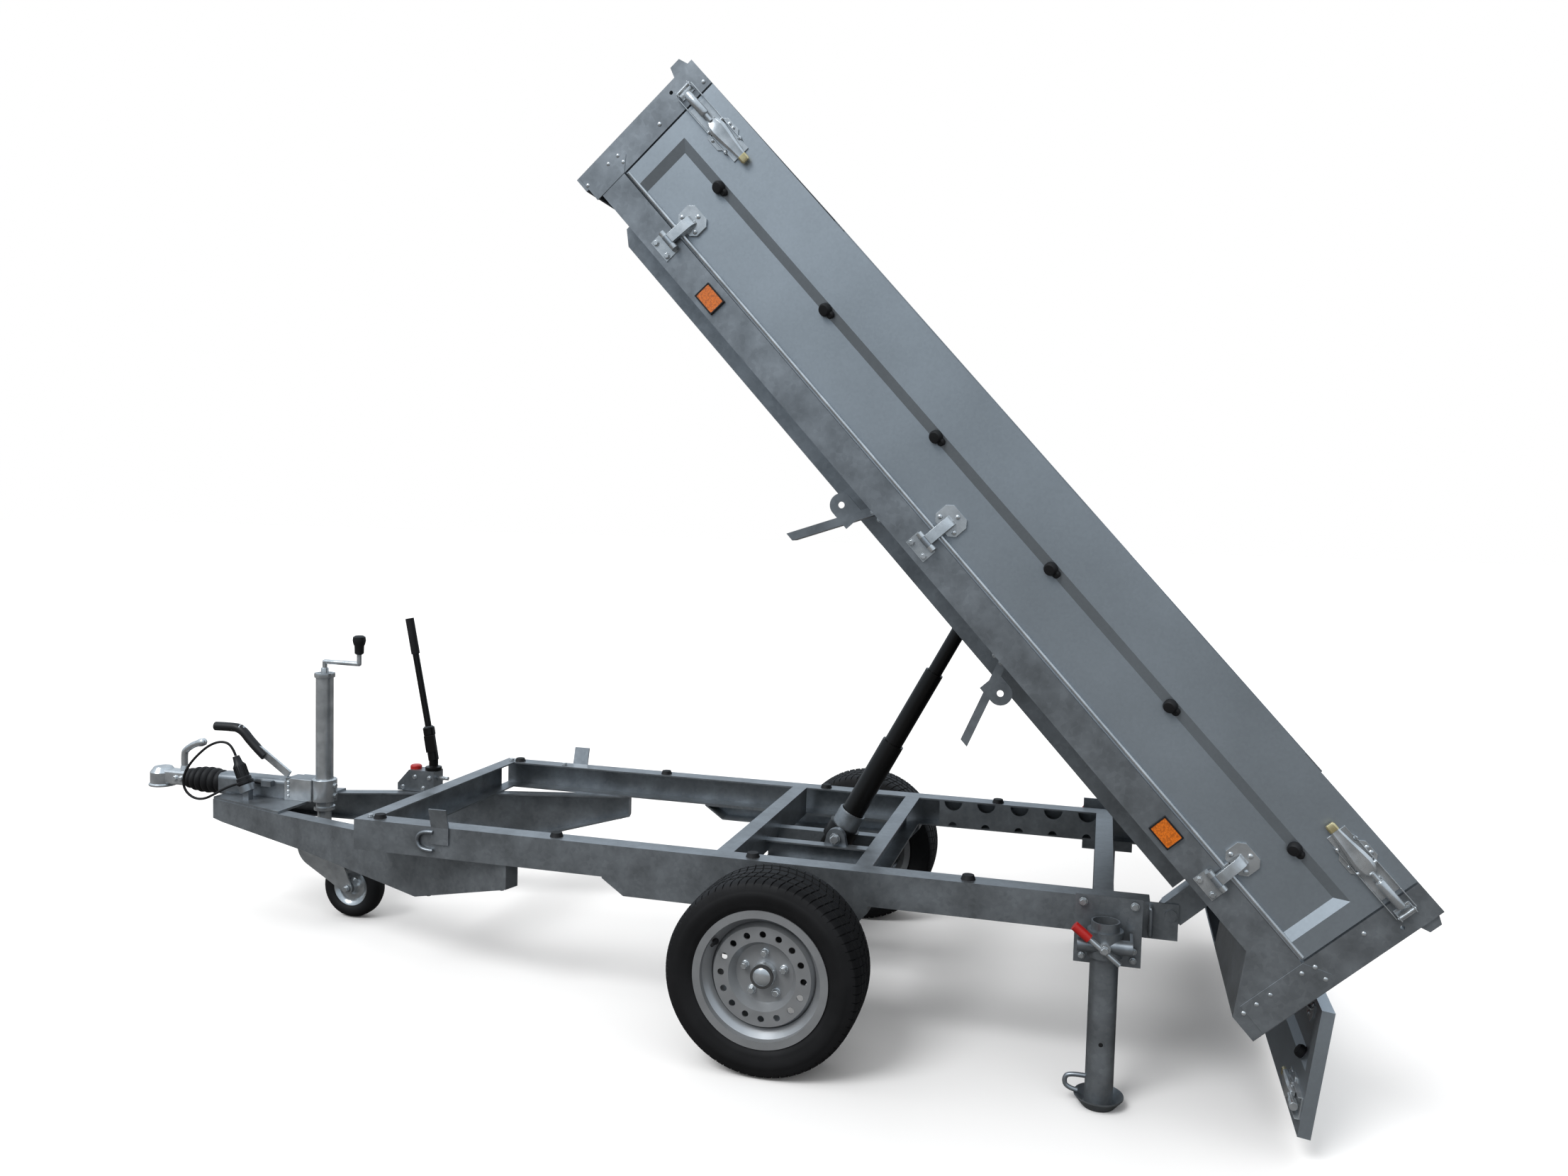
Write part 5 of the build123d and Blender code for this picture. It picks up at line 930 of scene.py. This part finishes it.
def latch(bm, tips, place, reach):
    """A latch from x = 0, with its tip in a mesh of its own; its rails and barrel reach past its end."""
    prism(bm, place, box_outline(0.002, 0.176, -0.024, 0.024), 0.003)
    prism(bm, place, ((0.086, -0.036), (0.124, -0.036), (0.136, -0.024), (0.074, -0.024)), 0.003)
    prism(bm, place, ((0.074, 0.024), (0.136, 0.024), (0.124, 0.036), (0.086, 0.036)), 0.003)
    for edge in (-0.0265, 0.0240):
        prism(bm, place @ shift(0, edge, 0), box_outline(0.002, 0.150, 0, 0.0025), 0.012)
        if reach:
            prism(bm, place @ shift(0, edge, 0.0060), box_outline(-reach, 0.004, 0, 0.0025), 0.0065)
    end = 0.004 - 0.7 * reach
    along = place @ shift(0, 0, 0.0170) @ Matrix.Rotation(radians(90), 4, "Y")
    barrel_rows = ((0, end), (0.0095, end), (0.0110, end + 0.003), (0.0110, 0.040), (0.0095, 0.043))
    revolve(bm, along, (*barrel_rows, (0.0060, 0.045), (0.0060, 0.066), (0, 0.066)), 24)
    across = place @ shift(0.080, 0.0260, 0.0120) @ Matrix.Rotation(radians(90), 4, "X")
    revolve(bm, across, drum(0.0048, 0, 0.0520), 14)
    loft(bm, place, LEVER_ROWS, LEVER_SECTION)
    for x, y in PLATE_SCREWS:
        rivet(bm, place @ shift(x, y, 0.003), 0.0055)
    loft(tips, place, TIP_ROWS, TIP_SECTION)


def catch(bm, place):
    """What a latch closes on: a pin between two cheeks on a plate, past the latch's end."""
    prism(bm, place, box_outline(-0.058, -0.030, -0.0205, 0.0205), 0.0025)
    upright = place @ Matrix.Rotation(radians(90), 4, "X")
    cheek = ((-0.056, 0), (-0.034, 0), (-0.037, 0.0205), (-0.053, 0.0205))
    for edge in (0.0180, -0.0205):
        prism(bm, upright @ shift(0, 0, edge), cheek, 0.0025)
    revolve(bm, upright @ shift(-0.0455, 0.0155, -0.0225), drum(0.0042, 0, 0.045), 14)


LATCH_INSET = 0.008
LATCH_HIGH = 0.452
LATCH_REACH = 0.046
FLIP_X = Matrix.Scale(-1, 4, (1, 0, 0))
panel_ends = (
    BED_FRONT + POST_WIDTH + PANEL_GAP + LATCH_INSET,
    BED_REAR - POST_WIDTH - PANEL_GAP - LATCH_INSET,
)
panel_latch_seats = [
    set_at(bed(end, -HALF_BED, LATCH_HIGH), LEFT, BED_BACK) @ way
    for end, way in zip(panel_ends, (Matrix.Identity(4), FLIP_X))
]
for side, name in ((-1, "left"), (1, "right")):
    bm, tips = bmesh.new(), bmesh.new()
    for seat in panel_latch_seats:
        latch(bm, tips, seat, LATCH_REACH)
    panel = f"panel_{name}"
    latches = add_piece(f"side_latches_{name}", panel, "zinc_plated", bm, edge=0.0006, flip=side > 0)
    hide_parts(f"panel_latches_{name}")
    add_piece(f"side_latch_tips_{name}", panel, "zinc_plated", tips, 0.0008, YELLOW_ZINC, flip=side > 0)
bm = bmesh.new()
for seat in panel_latch_seats:
    catch(bm, seat)
mirrored(bm)
add_piece("post_catches", "bed", "zinc_plated", bm, edge=0.0005)
bm, tips = bmesh.new(), bmesh.new()
latch(bm, tips, set_at(gate(0.271, -HALF_GATE + LATCH_INSET, 0.012), -GATE_BEHIND, RIGHT), 0)
mirrored(bm)
mirrored(tips)
latches = add_piece("tailgate_latches", "gate", "zinc_plated", bm, edge=0.0006)
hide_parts("gate_latches")
add_piece("tailgate_latch_tips", "gate", "zinc_plated", tips, 0.0008, YELLOW_ZINC)

# Hinge straps, each from its riveted plate on the panel over the bead to its pin
# Columns of the strap: across and high, as on the left panel; the gate's are the same from its own pin
PIN_ACROSS, PIN_HIGH = 0.787, 0.181
STRAP_WIDTH = 0.026
STRAP_OUTER = (
    (-0.7690, 0.2620),
    (-0.7760, 0.2585),
    (-0.7830, 0.2500),
    (-0.7870, 0.2380),
    (-0.7890, 0.2240),
    (-0.7925, 0.2060),
    (-0.7950, 0.1930),
    (-0.7950, 0.1870),
)
STRAP_INNER = (
    (-0.7920, 0.1870),
    (-0.7920, 0.1930),
    (-0.7895, 0.2055),
    (-0.7860, 0.2235),
    (-0.7840, 0.2370),
    (-0.7805, 0.2480),
    (-0.7750, 0.2555),
    (-0.7690, 0.2580),
)
PLATE_OUTLINE = (
    (-0.0370, -0.0160),
    (-0.0230, -0.0300),
    (0.0230, -0.0300),
    (0.0370, -0.0160),
    (0.0370, 0.0160),
    (0.0230, 0.0300),
    (-0.0230, 0.0300),
    (-0.0370, 0.0160),
)
PLATE_RIVETS = ((-0.0250, -0.0130), (0.0040, 0.0180), (0.0260, -0.0130))


def hinge_strap(bm, place):
    """A strap and its plate: place's x is into the panel, y up it and z along it."""
    prism(bm, place @ shift(0, 0, -STRAP_WIDTH / 2), (*STRAP_OUTER, *STRAP_INNER), STRAP_WIDTH)
    face = place @ shift(-0.7625, 0.2560, 0) @ Matrix.Rotation(radians(-90), 4, "Y")
    prism(bm, face, PLATE_OUTLINE, 0.0070)
    prism(bm, face, box_outline(-0.0135, 0.0135, -0.0400, -0.0260), 0.0070)
    for x, y in PLATE_RIVETS:
        rivet(bm, face @ shift(x, y, 0.0070), 0.0062)


for side, name in ((-1, "left"), (1, "right")):
    bm = bmesh.new()
    for hinge in SIDE_HINGES:
        hinge_strap(bm, set_at(bed(hinge, 0, 0), BED_BACK, RIGHT))
    add_piece(f"hinge_straps_{name}", f"panel_{name}", "zinc_plated", bm, edge=0.0005, flip=side > 0)
bm = bmesh.new()
for hinge in GATE_HINGES:
    hinge_strap(bm, set_at(gate(-PIN_HIGH, hinge, PIN_ACROSS), RIGHT, GATE_BEHIND))
add_piece("gate_hinge_straps", "gate", "zinc_plated", bm, edge=0.0005)

# Rivets, screws and bolts: on the posts, the rear beam, the hinge leaves and the mudguard stays
POST_RIVETS = (
    (-2.331, 0.352),
    (-2.331, 0.222),
    (-2.325, 0.500),
    (-2.353, 0.222),
    (0.192, 0.352),
    (0.226, 0.222),
    (0.192, 0.222),
)
BEAM_SCREWS = (
    (0.187, 0.030),
    (0.187, 0.066),
    (0.187, 0.104),
    (0.187, 0.190),
    (-2.356, 0.190),
    (-2.356, 0.115),
)
STAY_BOLTS = (-1.2600, -1.2340, -0.7900, -0.7660)
bm = bmesh.new()
for along, high in (*POST_RIVETS, *BEAM_SCREWS):
    rivet(bm, set_at(bed(along, -HALF_BED, high), LEFT), 0.0056)
for hinge in SIDE_HINGES:
    for x in (-0.022, 0.022):
        bolt(bm, set_at(bed(hinge + x, -0.7775, 0.152), LEFT, BED_BACK), 0.0062)
for along in STAY_BOLTS:
    bolt(bm, set_at(bed(along, -0.6500, 0.112), LEFT, BED_BACK), 0.0055)
mirrored(bm)
add_piece("bed_rivets", "bed", "zinc_plated", bm, edge=0.0004)

# Folded plates over the ends of the rear beam and the feet of the posts
END_PLATES = (
    ((0.170, 0.034), (0.2475, 0.034), (0.2475, 0.226), (0.224, 0.240), (0.170, 0.207)),
    ((-2.3865, 0.110), (-2.309, 0.110), (-2.309, 0.207), (-2.340, 0.240), (-2.3865, 0.240)),
)
bm = bmesh.new()
for outline in END_PLATES:
    prism(bm, set_at(bed(0, -HALF_BED + 0.0005, 0), LEFT, BED_BACK), outline, 0.0018)
mirrored(bm)
add_piece("bed_end_plates", "bed", "galvanised_steel", bm, edge=0.0004)

# Bright bead along the foot of each side panel
BEAD_START, BEAD_LENGTH = -2.300, 2.460
BEAD_PROFILE = ((0, -0.0045), (0.0030, -0.0036), (0.0045, 0), (0.0030, 0.0036), (0, 0.0045))
for side, name in ((-1, "left"), (1, "right")):
    bm = bmesh.new()
    bead = set_at(bed(BEAD_START, -HALF_BED, 0.2145), BED_BACK, LEFT)
    prism(bm, bead, BEAD_PROFILE, BEAD_LENGTH)
    add_piece(f"panel_bead_{name}", f"panel_{name}", "zinc_plated", bm, flip=side > 0)

# Reflectors: a dark frame of four bars round each lens
REFLECTORS = (-1.914, -0.234)
REFLECTOR_HIGH = 0.164
FRAME_BARS = (
    box_outline(-0.0325, 0.0325, -0.024, -0.0205),
    box_outline(-0.0325, 0.0325, 0.0205, 0.024),
    box_outline(-0.0325, -0.029, -0.0205, 0.0205),
    box_outline(0.029, 0.0325, -0.0205, 0.0205),
)
bm = bmesh.new()
for along in REFLECTORS:
    face = set_at(bed(along, -HALF_BED, REFLECTOR_HIGH), LEFT, BED_BACK)
    for outline in FRAME_BARS:
        prism(bm, face, outline, 0.0072)
mirrored(bm)
add_piece("reflector_frames", "bed", "black_plastic", bm, edge=0.0006)

# Plain studio: a floor that is white to the camera and dark to all other rays, so that it throws little light
FLOOR_HALF = 60
FLOOR_DARK, FLOOR_WHITE = (0.13,) * 3, (0.985,) * 3
bm = bmesh.new()
prism(bm, shift(0, 0, -0.02), box_outline(-FLOOR_HALF, FLOOR_HALF, -FLOOR_HALF, FLOOR_HALF), 0.0198)
mesh = bpy.data.meshes.new("floor")
bm.to_mesh(mesh)
bm.free()
floor = bpy.data.objects.new("floor", mesh)
bpy.context.collection.objects.link(floor)
floor_material, floor_tree, floor_surface = shader("floor", (1, 1, 1), 0.9)
floor_surface.inputs["Specular IOR Level"].default_value = 0
floor_rays = floor_tree.nodes.new("ShaderNodeLightPath")
floor_colour = ramp(floor_tree, floor_rays.outputs["Is Camera Ray"], FLOOR_DARK, FLOOR_WHITE, (0, 1))
floor_tree.links.new(floor_colour, floor_surface.inputs["Base Color"])
mesh.materials.append(floor_material)

# Sky: even white to the camera; to other rays brighter overhead than low down, and bluish in reflections
SKY_WHITE, SKY_BLUE = (1.0, 1.0, 1.0), (0.78, 0.89, 1.0)
world = bpy.data.worlds.new("studio")
world.use_nodes = True
bpy.context.scene.world = world
sky_tree = world.node_tree
sky = sky_tree.nodes["Background"]
rays = sky_tree.nodes.new("ShaderNodeLightPath")
directions = sky_tree.nodes.new("ShaderNodeTexCoord")
steepness = sky_tree.nodes.new("ShaderNodeSeparateXYZ")
sky_tree.links.new(directions.outputs["Generated"], steepness.inputs["Vector"])
lighting = map_range(sky_tree, steepness.outputs["Z"], 0.55, 1.15, top=0.8)
strength = map_range(sky_tree, rays.outputs["Is Camera Ray"], 0.0, 1.0)
sky_tree.links.new(lighting.outputs["Result"], strength.inputs["To Min"])
sky_tree.links.new(strength.outputs["Result"], sky.inputs["Strength"])
sky_colour = ramp(sky_tree, rays.outputs["Is Glossy Ray"], SKY_WHITE, SKY_BLUE, (0, 1))
sky_tree.links.new(sky_colour, sky.inputs["Color"])

# One broad lamp from the left, high and a little ahead
sun = bpy.data.lights.new("key", "SUN")
sun.energy = 1.5
sun.angle = radians(25)
key = bpy.data.objects.new("key", sun)
key.matrix_world = set_at(Vector((0, 0, 6)), Vector((-0.35, -0.6, 0.75)))
bpy.context.collection.objects.link(key)
bpy.context.scene.view_settings.view_transform = "Standard"
